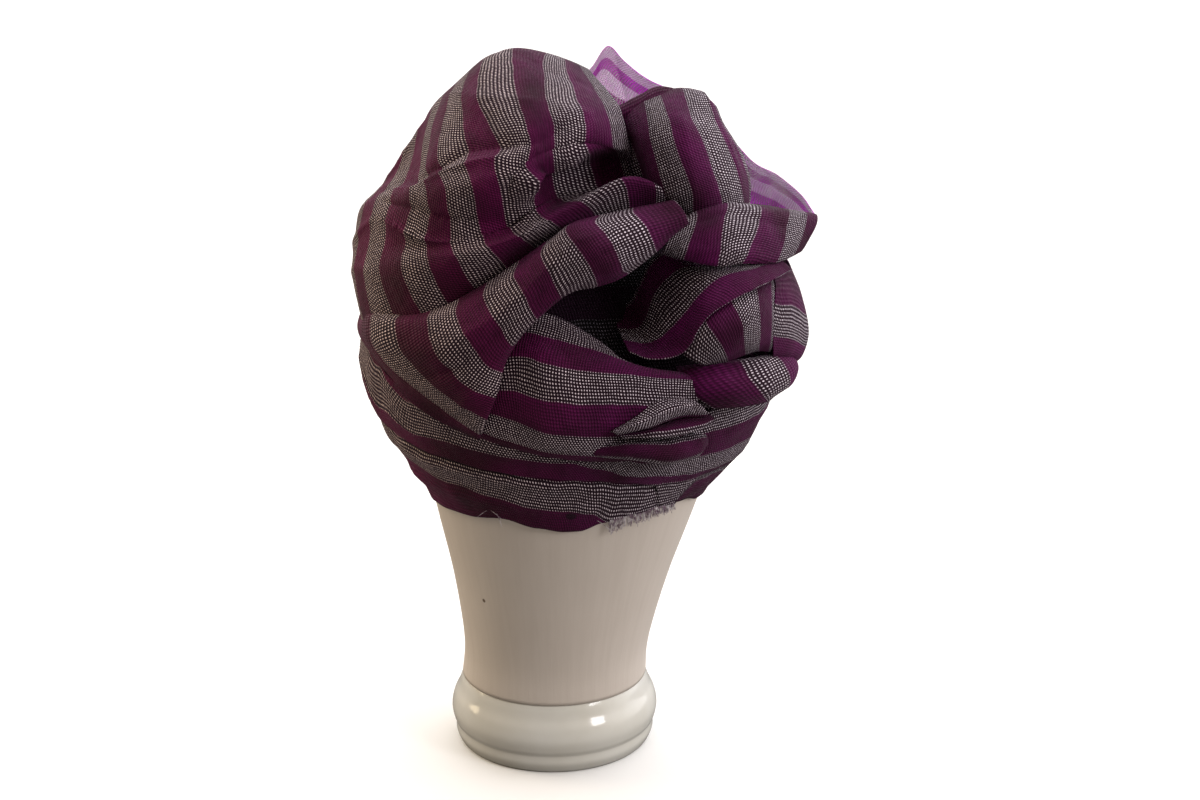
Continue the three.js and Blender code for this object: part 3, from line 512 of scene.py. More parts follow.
def cloth_piece(name, grid, threads, material, hoop=False):
    """A sheet of cloth on a grid of places in mm, with its thread numbers as a UV map. A hoop's two
    ends are joined."""
    rows, columns = grid.shape[0] - 1, grid.shape[1] - 1
    bm = bmesh.new()
    bmesh.ops.create_grid(bm, x_segments=rows, y_segments=columns, size=0.5)
    marks = bm.verts.layers.int.new("grid_place")
    for vert in bm.verts:
        i, j = round((vert.co.x + 0.5) * rows), round((vert.co.y + 0.5) * columns)
        vert.co = Vector(grid[i, j]) * MM
        vert[marks] = i * (columns + 1) + j
    uv = bm.loops.layers.uv.new("threads")
    flat_threads = threads.reshape(-1, 2)
    for face in bm.faces:
        face.smooth = True
        for loop in face.loops:
            loop[uv].uv = flat_threads[loop.vert[marks]]
    if hoop:
        bmesh.ops.remove_doubles(bm, verts=bm.verts, dist=1e-5)
    bm.verts.layers.int.remove(marks)
    mesh = bpy.data.meshes.new(name)
    bm.to_mesh(mesh)
    bm.free()
    mesh.materials.append(material)
    piece = bpy.data.objects.new(name, mesh)
    bpy.context.scene.collection.objects.link(piece)
    wall = piece.modifiers.new("cloth thickness", "SOLIDIFY")
    wall.thickness = CLOTH_THICKNESS * MM
    wall.offset = 0
    return piece


def round_table(table, column, turn):
    """Smooth value from a table of turns round the band, in degrees from the front to the right."""
    degrees = turn % 360
    later = [row for row in table if row["turn"] > degrees]
    to = later[0] if later else dict(table[0], turn=table[0]["turn"] + 360)
    start = [row for row in table if row["turn"] <= degrees][-1]
    t = (degrees - start["turn"]) / (to["turn"] - start["turn"])
    return start[column] + (to[column] - start[column]) * t * t * (3 - 2 * t)


def on_band(column, up):
    """Value of one column of the band's profile at a height."""
    return np.interp(up, [row["up"] for row in BAND_PROFILE], [row[column] for row in BAND_PROFILE])


def band_fold(turn, up):
    """How far the soft folds stand out at a turn and a height."""
    stand = 0.0
    for fold in BAND_FOLDS:
        for lap in (0, 360):
            t = (turn + lap - fold["from_turn"]) / (fold["to_turn"] - fold["from_turn"])
            if 0 < t < 1:
                off = (up - fold["from_up"] - (fold["to_up"] - fold["from_up"]) * t) / fold["width"]
                stand += fold["stand"] * math.sin(math.pi * t) * math.exp(-off * off)
    past = (turn - RIDGE_FROM_TURN) % 360 / RIDGE_TURNS
    if past < 1:
        off = abs(up - round_table(BAND_STRIPES, "third", turn)) / RIDGE_WIDTH
        stand += RIDGE_STAND * math.sin(math.pi * past) * math.exp(-off)
    return stand


def band_sheet(from_turn, to_turn, steps, rise, hem, top, tuck):
    """Places and thread numbers of a stretch of the band."""
    grid = np.zeros((steps + 1, rise + 1, 3))
    threads = np.zeros((steps + 1, rise + 1, 2))
    for i, turn in enumerate(np.linspace(from_turn, to_turn, steps + 1)):
        low, high = round_table(BAND_EDGES, hem, turn), round_table(BAND_EDGES, top, turn)
        edges = [round_table(BAND_STRIPES, c, turn) for c in ("first", "second", "third", "fourth")]
        # One more edge lies below the hem, and four whole stripes follow above.
        edges = [min(low, edges[0]) - 4, *edges, *(edges[-1] + STRIPE * k for k in (1, 2, 3, 4))]
        angle = math.radians(turn)
        for j, up in enumerate(np.linspace(low, high, rise + 1)):
            out = band_fold(turn, up) - CLOTH_WALL / 2 - tuck(turn, up)
            grid[i, j] = (
                on_band("centre", up) + (on_band("across", up) + out) * math.sin(angle),
                -(on_band("deep", up) + out) * math.cos(angle),
                up,
            )
            thread = np.interp(up, edges, np.arange(len(edges)) * STRIPE)
            threads[i, j] = (thread, angle * THREAD_COUNT_RADIUS)
    return grid, threads


def smooth_rise(value, low, high):
    """From 0 at low to 1 at high, level at both ends."""
    t = min(max((value - low) / (high - low), 0), 1)
    return t * t * (3 - 2 * t)


def lower_tuck(turn, up):
    """The lower band sinks under the fold of the upper band."""
    fold = round_table(BAND_EDGES, "fold", turn)
    return BAND_LAP * smooth_rise(up, fold - LAP_BELOW, fold + LAP_ABOVE)


lower_grid, lower_threads = band_sheet(
    RAW_END_TURN, RAW_END_TURN - LOWER_BAND_TURNS, LOWER_BAND_STEPS, BAND_RISE_STEPS,
    "lower_hem", "lower_top", lower_tuck,
)
lower_grid = rumple(lower_grid, depth=0.8, size=17)
lower_band = cloth_piece("band_cloth_lower", lower_grid, lower_threads, outer_mesh)
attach(lower_band, "root")
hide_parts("lower_band")

# End fringe
# The cloth's raw end is cut and not hemmed, so its threads fray along the lower hem, and a few long
# ones hang loose in front. They are the cloth's own threads, each under a third of a millimetre.
FRINGE_THREADS = 260
THREAD_RADIUS = 0.13
FRINGE_FROM_TURN = 17
FRINGE_LENGTHS = (3.5, 7.0)
# The fringe is shorter by this share at the end of the cloth, and every ninth thread is longer.
FRINGE_FALL = 0.55
LONGER_EVERY = 9
LONGER_BY = 1.3
THREAD_DARK = (0.20, 0.13, 0.18, 1)
THREAD_LIGHT = (0.62, 0.57, 0.60, 1)
# Long loose threads: turn and height of the root, and how far the end lies right, down and out.
LONG_THREAD_OUT = 0.5
LONG_THREADS = [
    dict(turn=-28, up=172, right=6, down=4, out=3),
    dict(turn=-30, up=171, right=-5, down=3, out=2),
    dict(turn=-26, up=170, right=3, down=7, out=2),
    dict(turn=12, up=168, right=8, down=6, out=2),
]


def loose_threads_finish():
    """Cut threads, silver ones and purple ones mixed."""
    material, tree, shader = new_finish("loose_threads", 0.6, Sheen_Weight=0.2)
    place = add_node(tree, "ShaderNodeTexCoord").outputs["Object"]
    spots = add_node(tree, "ShaderNodeTexNoise", {"Vector": place, "Scale": 420.0, "Detail": 1.0})
    share = remap(tree, spots.outputs["Fac"], 0.42, 0.6, 0.0, 1.0)
    colour = blend_colours(tree, share, THREAD_DARK, THREAD_LIGHT)
    tree.links.new(colour, shader.inputs["Base Color"])
    return material


def band_place(turn, up, out=0.0):
    """A place on the lower band, in mm, or standing out from it."""
    angle = math.radians(turn)
    out += band_fold(turn, up) - CLOTH_WALL / 2
    return Vector((
        on_band("centre", up) + (on_band("across", up) + out) * math.sin(angle),
        -(on_band("deep", up) + out) * math.cos(angle),
        up,
    ))


def thread_line(curve, places):
    """One thread as a smooth line through its places."""
    line = curve.splines.new("NURBS")
    line.points.add(len(places) - 1)
    for point, place in zip(line.points, places):
        point.co = (*(Vector(place) * MM), 1)
    line.use_endpoint_u = True
    line.order_u = 3


fringe_curve = bpy.data.curves.new("end_threads", "CURVE")
fringe_curve.dimensions = "3D"
fringe_curve.bevel_depth = THREAD_RADIUS * MM
fringe_curve.bevel_resolution = 1
fringe_curve.resolution_u = 3
chance = random.Random(5)
fringe_turns = RAW_END_TURN - FRINGE_FROM_TURN
for k in range(FRINGE_THREADS):
    turn = FRINGE_FROM_TURN + fringe_turns * (k + chance.random()) / FRINGE_THREADS
    hem = round_table(BAND_EDGES, "lower_hem", turn)
    full = 1 - FRINGE_FALL * (turn - FRINGE_FROM_TURN) / fringe_turns
    length = chance.uniform(*FRINGE_LENGTHS) * full * (LONGER_BY if k % LONGER_EVERY == 0 else 1.0)
    lean = chance.uniform(-2.2, 1.2)
    root = band_place(turn, hem + 1.5)
    tip = root + Vector((lean, chance.uniform(-1.2, 0.6), -1.5 - length))
    middle = (root + tip) / 2 + Vector((chance.uniform(-0.7, 0.7), chance.uniform(-0.8, 0), 0))
    thread_line(fringe_curve, [root, middle, tip])
for row in LONG_THREADS:
    root = band_place(row["turn"], row["up"], out=LONG_THREAD_OUT)
    tip = root + Vector((row["right"], -row["out"], -row["down"]))
    middle = (root + tip) / 2 + Vector((0, -row["out"], row["down"] / 3))
    thread_line(fringe_curve, [root, middle, tip])
end_threads = bpy.data.objects.new("end_threads", fringe_curve)
bpy.context.scene.collection.objects.link(end_threads)
end_threads.data.materials.append(loose_threads_finish())
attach(end_threads, "root")
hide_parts("end_fringe")

# Upper band
# The next turn of the same cloth, folded along its lower edge and wound tight round the whole head.
# It laps over the lower band and holds it down.
UPPER_BAND_STEPS = 384


def no_tuck(turn, up):
    """The upper band lies outermost all the way round."""
    return 0.0


upper_grid, upper_threads = band_sheet(
    0, 360, UPPER_BAND_STEPS, BAND_RISE_STEPS, "upper_hem", "upper_top", no_tuck
)
upper_grid = rumple(upper_grid, depth=0.8, size=15)
upper_grid[-1] = upper_grid[0]
upper_band = cloth_piece("band_cloth_upper", upper_grid, upper_threads, outer_mesh, hoop=True)
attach(upper_band, "root")
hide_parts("upper_band")

# Diagonal roll
# From the left side the cloth is drawn across the face to the knot and rolled over, so it makes a
# deep round fold with a hollow under it.
CLOTH_PITCH = 1.7
# Steps along a pressed crease, and the share of it that fades at each end.
CREASE_STEPS = 72
CREASE_FADE = 0.2

# Places in mm: right, back and up. Rows run over the roll from behind to its lower edge, and columns
# from the left hem to the knot.
DIAGONAL_ROLL = [
    dict(hem=(-114, 12, 279), side=(-96, -56, 282), cheek=(-62, -93, 290), front=(-31, -100, 307),
         brow=(1, -102, 329), rim=(13, -102, 338), pocket=(28, -99, 342), knot=(67, -84, 348)),
    dict(hem=(-114, 10, 270), side=(-99, -62, 277), cheek=(-63, -104, 285), front=(-32, -114, 301),
         brow=(-2, -119, 325), rim=(11, -120, 337), pocket=(27, -116, 341), knot=(69, -93, 348)),
    dict(hem=(-111, -18, 257), side=(-95, -68, 260), cheek=(-58, -112, 272), front=(-25, -124, 291),
         brow=(3, -128, 316), rim=(20, -130, 326), pocket=(35, -126, 332), knot=(73, -98, 343)),
    dict(hem=(-78, -83, 238), side=(-68, -91, 243), cheek=(-45, -115, 256), front=(-20, -121, 281),
         brow=(7, -123, 306), rim=(26, -124, 315), pocket=(40, -120, 319), knot=(75, -96, 338)),
    dict(hem=(-41, -105, 223), side=(-38, -110, 227), cheek=(-28, -116, 248),
         front=(-17, -112, 275), brow=(9, -110, 300), rim=(27, -109, 306),
         pocket=(44, -105, 313), knot=(76, -88, 335)),
    dict(hem=(-40, -99, 223), side=(-37, -103, 227), cheek=(-31, -109, 247), front=(-15, -101, 276),
         brow=(10, -95, 303), rim=(26, -93, 311), pocket=(42, -91, 317), knot=(71, -80, 333)),
]

# Creases: the (column, row) numbers of the table that each runs through, its width and how far it
# stands out, in mm.
ROLL_CREASES = [
    dict(path=((0.8, 2.7), (3.0, 2.5), (5.0, 2.3), (6.9, 2.2)), width=4, lift=-1.8),
    dict(path=((1.6, 1.9), (3.4, 1.8), (5.2, 1.5), (6.9, 1.6)), width=4, lift=1.4),
    dict(path=((0.6, 3.5), (2.5, 3.4), (4.6, 3.2)), width=4, lift=1.4),
    dict(path=((2.2, 4.3), (4.4, 4.0), (6.8, 3.4)), width=4, lift=-1.4),
    dict(path=((0.2, 1.7), (1.4, 2.2), (2.6, 3.0)), width=5, lift=-1.2),
]


def press_creases(grid, creases, columns, rows):
    """The grid with creases pressed in or raised, sharp along their lines and fading at both ends.
    Each runs through (column, row) numbers."""
    for crease in creases:
        path = np.array(crease["path"], float)
        t = np.linspace(0, 1, CREASE_STEPS)
        at = t * (len(path) - 1)
        column_at = np.interp(at, range(len(path)), path[:, 0]) / (columns - 1) * (grid.shape[1] - 1)
        row_at = np.interp(at, range(len(path)), path[:, 1]) / (rows - 1) * (grid.shape[0] - 1)
        line = grid[np.rint(row_at).astype(int), np.rint(column_at).astype(int)]
        off = np.linalg.norm(grid[:, :, None, :] - line[None, None], axis=3)
        nearest = off.argmin(axis=2)
        off = off.min(axis=2) / crease["width"]
        ends = np.clip(np.minimum(t, 1 - t) / CREASE_FADE, 0, 1)[nearest]
        depth = crease["lift"] * np.exp(-np.sqrt(off**2 + 0.02) * 1.5) * ends
        grid = grid + unit_normals(grid) * depth[:, :, None]
    return grid


def lay_cloth(name, table, stripes, finish, shift=None, by_rows=False, creases=(), rumples=0.7, size=22):
    """A turn of cloth on a smooth surface through a table's places, in mm. Each column has its
    place across the stripes, in mm of cloth, and shift adds to it row by row. The other threads are
    counted along each column, or along the rows with by_rows. Rumples stand out by their depth and
    are about as wide as their size."""
    places = np.array([list(row.values()) for row in table], float)
    rows, columns = places.shape[:2]
    row_shift = np.zeros(rows) if shift is None else np.array(shift, float)
    marks = np.add.outer(row_shift, np.array(stripes, float))
    tall = np.linalg.norm(np.diff(places, axis=0), axis=2).sum(axis=0).max()
    wide = np.linalg.norm(np.diff(places, axis=1), axis=2).sum(axis=1).max()
    steps_along = max(8, round(tall / CLOTH_PITCH))
    steps_across = max(8, round(wide / CLOTH_PITCH))
    down, over = curve_weights(rows, steps_along), curve_weights(columns, steps_across)
    grid = np.einsum("ir,rck,jc->ijk", down, places, over)
    row_at = np.linspace(0, rows - 1, steps_along + 1)
    column_at = np.linspace(0, columns - 1, steps_across + 1)
    across = np.array([np.interp(column_at, range(columns), line) for line in marks])
    across = np.array([np.interp(row_at, range(rows), line) for line in across.T]).T
    axis = 1 if by_rows else 0
    lengths = np.linalg.norm(np.diff(grid, axis=axis), axis=2)
    if by_rows:
        lengths = np.repeat(lengths.mean(axis=0)[None], grid.shape[0], axis=0)
    along = np.insert(np.cumsum(lengths, axis=axis), 0, 0, axis=axis)
    grid = press_creases(grid, creases, columns, rows)
    grid = rumple(grid, rumples, size)
    return cloth_piece(name, grid, np.stack([across, along], axis=2), finish)


roll_cloth = lay_cloth(
    "roll_cloth", DIAGONAL_ROLL, (0, 16, 48, 80, 112, 128, 144, 176), outer_mesh, creases=ROLL_CREASES
)
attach(roll_cloth, "root")
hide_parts("diagonal_roll")

# Front swath
# A second, lower fold of the same cloth under the roll. It crosses the front from behind the left
# cheek, and its right end is tucked away behind the pleats.

# Rows run from the left to the right, and columns from the tucked lower edge up into the hollow.
FRONT_SWATH = [
    dict(tuck=(-48, -94, 222), edge=(-47, -99, 228), lower=(-45, -100, 238),
         middle=(-41, -102, 248), upper=(-35, -100, 263), lip=(-28, -94, 277),
         inside=(-20, -86, 287)),
    dict(tuck=(-23, -103, 217), edge=(-22, -108, 222), lower=(-21, -109, 234),
         middle=(-18, -110, 250), upper=(-14, -108, 268), lip=(-10, -98, 279),
         inside=(-4, -84, 287)),
    dict(tuck=(-1, -106, 212), edge=(-1, -113, 217), lower=(-1, -117, 229), middle=(0, -120, 247),
         upper=(0, -117, 266), lip=(3, -103, 277), inside=(8, -84, 283)),
    dict(tuck=(22, -107, 210), edge=(22, -114, 215), lower=(22, -118, 227), middle=(23, -121, 245),
         upper=(23, -117, 262), lip=(24, -103, 271), inside=(27, -84, 272)),
    dict(tuck=(42, -99, 208), edge=(42, -105, 212), lower=(46, -109, 225), middle=(50, -117, 244),
         upper=(52, -115, 259), lip=(51, -104, 262), inside=(50, -90, 256)),
    dict(tuck=(66, -88, 208), edge=(67, -93, 212), lower=(74, -96, 225), middle=(80, -104, 241),
         upper=(85, -103, 253), lip=(84, -93, 254), inside=(82, -80, 249)),
]

SWATH_CREASES = [
    dict(path=((3.0, 0.3), (3.2, 2.5), (3.7, 4.8)), width=5, lift=-1.3),
    dict(path=((2.1, 0.5), (2.3, 3.0), (2.8, 4.9)), width=4, lift=1.1),
    dict(path=((4.2, 0.4), (4.3, 2.6), (4.6, 4.6)), width=4, lift=1.0),
]
swath_cloth = lay_cloth(
    "swath_cloth", FRONT_SWATH, (8, 16, 32, 48, 64, 80, 96), outer_mesh, creases=SWATH_CREASES
)
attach(swath_cloth, "root")
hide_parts("front_swath")

# Inner curl
# The far side of the hollow: the cloth comes up out of it, turns over to the right and shows a wide
# purple stripe and the light edge of the fold.

# Rows run from the hollow's lower end up and out to the right, and columns out to the free edge.
INNER_CURL = [
    dict(deep=(36, -46, 280), hollow=(38, -64, 274), bound=(41, -82, 271), edge=(44, -97, 268)),
    dict(deep=(46, -56, 288), hollow=(51, -70, 277), bound=(55, -88, 271), edge=(56, -106, 266)),
    dict(deep=(56, -60, 310), hollow=(59, -72, 297), bound=(68, -96, 282), edge=(73, -110, 271)),
    dict(deep=(66, -66, 317), hollow=(70, -79, 310), bound=(81, -104, 300), edge=(85, -112, 290)),
    dict(deep=(78, -66, 316), hollow=(84, -85, 313), bound=(93, -101, 310), edge=(103, -107, 301)),
    dict(deep=(95, -58, 315), hollow=(103, -80, 314), bound=(110, -90, 312), edge=(118, -93, 305)),
    dict(deep=(115, -42, 315), hollow=(121, -58, 314), bound=(128, -64, 312), edge=(134, -66, 307)),
]

curl_cloth = lay_cloth("curl_cloth", INNER_CURL, (50, 33, 16, 0), outer_mesh)
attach(curl_cloth, "root")
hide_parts("inner_curl")

# Right middle petal
# The cloth fans out from the knot to the right, and its far corner is folded over.

# Rows run from behind over the front and under it, and columns from the knot to the far corner.
RIGHT_MID_PETAL = [
    dict(knot=(63, -82, 334), brown=(77, -72, 338), first=(97, -58, 342),
         second=(114, -46, 340), third=(132, -34, 336), corner=(147, -16, 330)),
    dict(knot=(66, -97, 333), brown=(80, -89, 342), first=(97, -81, 345),
         second=(116, -67, 340), third=(134, -46, 335), corner=(152, -22, 330)),
    dict(knot=(64, -99, 329), brown=(77, -99, 332), first=(93, -97, 334),
         second=(112, -84, 330), third=(130, -63, 324), corner=(149, -35, 324)),
    dict(knot=(62, -96, 323), brown=(73, -99, 320), first=(91, -101, 317),
         second=(104, -94, 317), third=(124, -74, 313), corner=(140, -50, 314)),
    dict(knot=(61, -84, 319), brown=(72, -90, 317), first=(89, -91, 317),
         second=(104, -83, 317), third=(121, -62, 317), corner=(135, -40, 318)),
]

MID_PETAL_CREASES = [
    dict(path=((0.2, 1.6), (2.5, 1.4), (4.7, 1.6)), width=4, lift=-1.4),
    dict(path=((0.3, 2.5), (2.5, 2.6), (4.5, 2.9)), width=4, lift=1.1),
]
mid_petal_cloth = lay_cloth(
    "mid_petal_cloth", RIGHT_MID_PETAL, (80, 96, 112, 128, 144, 170), outer_mesh,
    creases=MID_PETAL_CREASES,
)
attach(mid_petal_cloth, "root")
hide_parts("right_mid_petal")

# Pleats
# Three small pleats, pushed one over the other at the lower right, where the swath's end is tucked
# in and pinned from behind.

# Rows of each pleat run from the left to the right, and columns from behind over the top and under.
PLEAT_LOWER = [
    dict(inner=(24, -111, 217), top=(24, -113, 218), belly=(25, -114, 216), under=(25, -111, 214)),
    dict(inner=(43, -110, 221), top=(43, -117, 222), belly=(46, -120, 217), under=(47, -112, 212)),
    dict(inner=(64, -108, 222), top=(65, -117, 222), belly=(66, -120, 215), under=(66, -110, 209)),
    dict(inner=(80, -98, 223), top=(81, -107, 222), belly=(82, -109, 216), under=(81, -99, 210)),
    dict(inner=(86, -94, 221), top=(87, -97, 220), belly=(87, -98, 217), under=(86, -93, 214)),
]

PLEAT_MIDDLE = [
    dict(inner=(38, -113, 226), top=(39, -116, 227), belly=(40, -117, 226), under=(40, -114, 225)),
    dict(inner=(58, -108, 230), top=(60, -117, 230), belly=(61, -119, 227), under=(61, -111, 225)),
    dict(inner=(76, -100, 233), top=(78, -110, 231), belly=(79, -111, 228), under=(79, -102, 225)),
    dict(inner=(88, -92, 232), top=(90, -97, 231), belly=(90, -98, 229), under=(89, -92, 227)),
]

PLEAT_UPPER = [
    dict(inner=(34, -117, 229), top=(35, -120, 230), belly=(37, -121, 229), under=(38, -118, 228)),
    dict(inner=(47, -117, 237), top=(51, -121, 236), belly=(54, -121, 233), under=(55, -115, 231)),
    dict(inner=(60, -115, 246), top=(66, -116, 242), belly=(69, -115, 238), under=(69, -108, 234)),
    dict(inner=(74, -109, 246), top=(82, -108, 242), belly=(86, -106, 237), under=(86, -100, 233)),
]

PLEATS = [
    dict(node="pleat_lower", table=PLEAT_LOWER, stripes=(28, 32, 46, 52), flat=(0.02, 0.07)),
    dict(node="pleat_middle", table=PLEAT_MIDDLE, stripes=(42, 33, 30, 22), flat=(0.013, 0.055)),
    dict(node="pleat_upper", table=PLEAT_UPPER, stripes=(26, 18, 30, 36), flat=(0.017, 0.055)),
]
for pleat in PLEATS:
    pleat_cloth = lay_cloth(
        pleat["node"] + "_cloth", pleat["table"], pleat["stripes"], outer_mesh, rumples=0.4, size=9
    )
    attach(pleat_cloth, "root")
    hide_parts(pleat["node"])

# Puffs
# The cloth's loose length is pushed up into rounded puffs at the lower right: a striped front one,
# a back one that runs round the side, and a roll under both.

# Rows run down the front puff, and columns to the right.
PUFF_FRONT = [
    dict(first=(69, -97, 273), second=(82, -98, 289), third=(96, -93, 298),
         fourth=(110, -83, 302), ridge=(122, -68, 304)),
    dict(first=(72, -107, 270), second=(84, -110, 288), third=(98, -106, 298),
         fourth=(112, -96, 301), ridge=(123, -80, 302)),
    dict(first=(77, -110, 267), second=(89, -116, 281), third=(103, -114, 288),
         fourth=(113, -106, 290), ridge=(122, -90, 289)),
    dict(first=(83, -108, 264), second=(95, -112, 271), third=(105, -108, 275),
         fourth=(114, -98, 274), ridge=(122, -88, 272)),
    dict(first=(86, -97, 261), second=(97, -98, 263), third=(107, -94, 266),
         fourth=(115, -86, 266), ridge=(122, -76, 263)),
]

# Rows run from the front round the right side to the back, and columns over the roll from the top.
PUFF_ROLL = [
    dict(tuck=(70, -90, 258), top=(70, -97, 257), belly=(70, -102, 252),
         low=(73, -101, 243), under=(78, -96, 237)),
    dict(tuck=(84, -94, 261), top=(84, -102, 261), belly=(85, -109, 255),
         low=(87, -108, 246), under=(90, -101, 238)),
    dict(tuck=(102, -90, 262), top=(102, -98, 262), belly=(103, -106, 256),
         low=(105, -105, 247), under=(108, -97, 238)),
    dict(tuck=(117, -78, 261), top=(119, -86, 261), belly=(121, -92, 255),
         low=(122, -90, 245), under=(121, -82, 237)),
    dict(tuck=(132, -54, 257), top=(136, -58, 256), belly=(139, -60, 249),
         low=(136, -57, 239), under=(127, -52, 233)),
    dict(tuck=(134, -20, 252), top=(139, -22, 250), belly=(141, -22, 243),
         low=(135, -21, 234), under=(128, -20, 229)),
    dict(tuck=(128, 16, 252), top=(133, 18, 250), belly=(135, 20, 242),
         low=(131, 18, 234), under=(125, 16, 229)),
    dict(tuck=(112, 44, 252), top=(116, 50, 250), belly=(118, 53, 243),
         low=(114, 51, 236), under=(108, 48, 232)),
]

# Rows run down the back puff, and columns from the front ridge round to the back.
PUFF_BACK = [
    dict(ridge=(125, -60, 302), middle=(133, -44, 303), out=(138, -20, 301),
         back=(134, 22, 302), tail=(114, 50, 302)),
    dict(ridge=(124, -78, 297), middle=(136, -58, 291), out=(145, -30, 282),
         back=(141, 24, 284), tail=(118, 54, 285)),
    dict(ridge=(123, -84, 283), middle=(137, -64, 276), out=(148, -32, 265),
         back=(143, 26, 266), tail=(120, 56, 268)),
    dict(ridge=(123, -82, 268), middle=(136, -64, 262), out=(145, -32, 252),
         back=(141, 26, 254), tail=(120, 54, 256)),
    dict(ridge=(124, -74, 258), middle=(133, -58, 253), out=(140, -30, 246),
         back=(136, 24, 249), tail=(116, 50, 252)),
]

puff_front_cloth = lay_cloth("puff_front_cloth", PUFF_FRONT, (80, 96, 112, 128, 147), outer_mesh)
puff_roll_cloth = lay_cloth(
    "puff_roll_cloth", PUFF_ROLL, (0, -1, -3, -6, -9), outer_mesh,
    shift=(130, 137, 144, 154, 170, 186, 202, 218), by_rows=True,
)
puff_back_cloth = lay_cloth(
    "puff_back_cloth", PUFF_BACK, (0, 0, 0, 0, 0), outer_mesh,
    shift=(132, 139, 151, 166, 178), by_rows=True,
)
for puff, node, flat in (
    (puff_front_cloth, "puff_front", (0.055, 0.045)),
    (puff_roll_cloth, "puff_roll", (0.03, 0.2)),
    (puff_back_cloth, "puff_back", (0.05, 0.16)),
):
    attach(puff, "root")
    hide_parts(node)

# Left lobe
# The widest turn of the cloth. It rises from the left side, is drawn in at two creases, bulges in
# between, sinks into a pocket beside the knot and goes over the top to the back.

# Rows run up the front, over the top and down the back, and columns from the left rear to the knot.
LEFT_LOBE = [
    dict(back=(-92, 66, 256), rear=(-110, 30, 258), flank=(-111, -12, 267), side=(-98, -56, 273),
         cheek=(-63, -92, 278), front=(-31, -88, 289), brow=(0, -75, 315), rim=(18, -70, 321),
         pocket=(35, -66, 326), mouth=(50, -70, 329), knot=(66, -66, 331)),
    dict(back=(-93, 66, 287), rear=(-113, 30, 289), flank=(-115, -12, 294), side=(-103, -50, 301),
         cheek=(-78, -86, 311), front=(-46, -105, 319), brow=(-13, -108, 332), rim=(3, -104, 340),
         pocket=(20, -100, 349), mouth=(45, -93, 361), knot=(70, -82, 349)),
    dict(back=(-91, 67, 307), rear=(-110, 30, 309), flank=(-113, -10, 315), side=(-100, -46, 321),
         cheek=(-76, -76, 325), front=(-50, -94, 328), brow=(-20, -94, 335), rim=(-6, -90, 343),
         pocket=(6, -72, 346), mouth=(34, -60, 350), knot=(56, -60, 353)),
    dict(back=(-88, 68, 322), rear=(-104, 32, 327), flank=(-110, -8, 333), side=(-98, -38, 339),
         cheek=(-74, -74, 347), front=(-52, -96, 354), brow=(-24, -108, 359), rim=(-7, -104, 361),
         pocket=(2, -72, 364), mouth=(28, -56, 367), knot=(50, -52, 364)),
    dict(back=(-86, 67, 329), rear=(-98, 35, 334), flank=(-102, 0, 340), side=(-93, -26, 346),
         cheek=(-72, -61, 352), front=(-56, -82, 363), brow=(-26, -104, 369), rim=(-9, -108, 371),
         pocket=(4, -101, 371), mouth=(27, -90, 376), knot=(45, -62, 373)),
    dict(back=(-85, 66, 336), rear=(-93, 38, 341), flank=(-94, 8, 347), side=(-88, -14, 352),
         cheek=(-71, -48, 358), front=(-59, -68, 372), brow=(-25, -92, 380), rim=(-8, -100, 384),
         pocket=(5, -98, 386), mouth=(25, -88, 391), knot=(41, -60, 388)),
    dict(back=(-80, 70, 344), rear=(-82, 48, 353), flank=(-83, 20, 361), side=(-78, 2, 370),
         cheek=(-69, -14, 382), front=(-55, -34, 395), brow=(-37, -64, 400), rim=(-15, -76, 402),
         pocket=(0, -78, 402), mouth=(19, -66, 402), knot=(37, -48, 397)),
    dict(back=(-80, 77, 344), rear=(-80, 62, 354), flank=(-79, 44, 362), side=(-74, 28, 376),
         cheek=(-65, 10, 391), front=(-50, -4, 405), brow=(-35, -15, 418), rim=(-20, -18, 423),
         pocket=(-2, -18, 420), mouth=(11, -15, 416), knot=(22, -11, 411)),
    dict(back=(-90, 74, 333), rear=(-82, 77, 343), flank=(-73, 66, 352), side=(-65, 56, 368),
         cheek=(-53, 48, 383), front=(-40, 42, 395), brow=(-24, 36, 404), rim=(-8, 32, 407),
         pocket=(6, 28, 406), mouth=(16, 25, 403), knot=(25, 22, 400)),
    dict(back=(-96, 72, 306), rear=(-82, 86, 313), flank=(-68, 88, 324), side=(-58, 86, 338),
         cheek=(-46, 82, 350), front=(-34, 78, 360), brow=(-20, 74, 366), rim=(-6, 70, 368),
         pocket=(8, 66, 367), mouth=(17, 63, 364), knot=(26, 60, 362)),
    dict(back=(-99, 69, 276), rear=(-83, 88, 282), flank=(-64, 94, 297), side=(-53, 94, 307),
         cheek=(-42, 92, 316), front=(-31, 90, 323), brow=(-18, 88, 328), rim=(-6, 86, 330),
         pocket=(7, 84, 330), mouth=(15, 82, 329), knot=(24, 80, 328)),
]

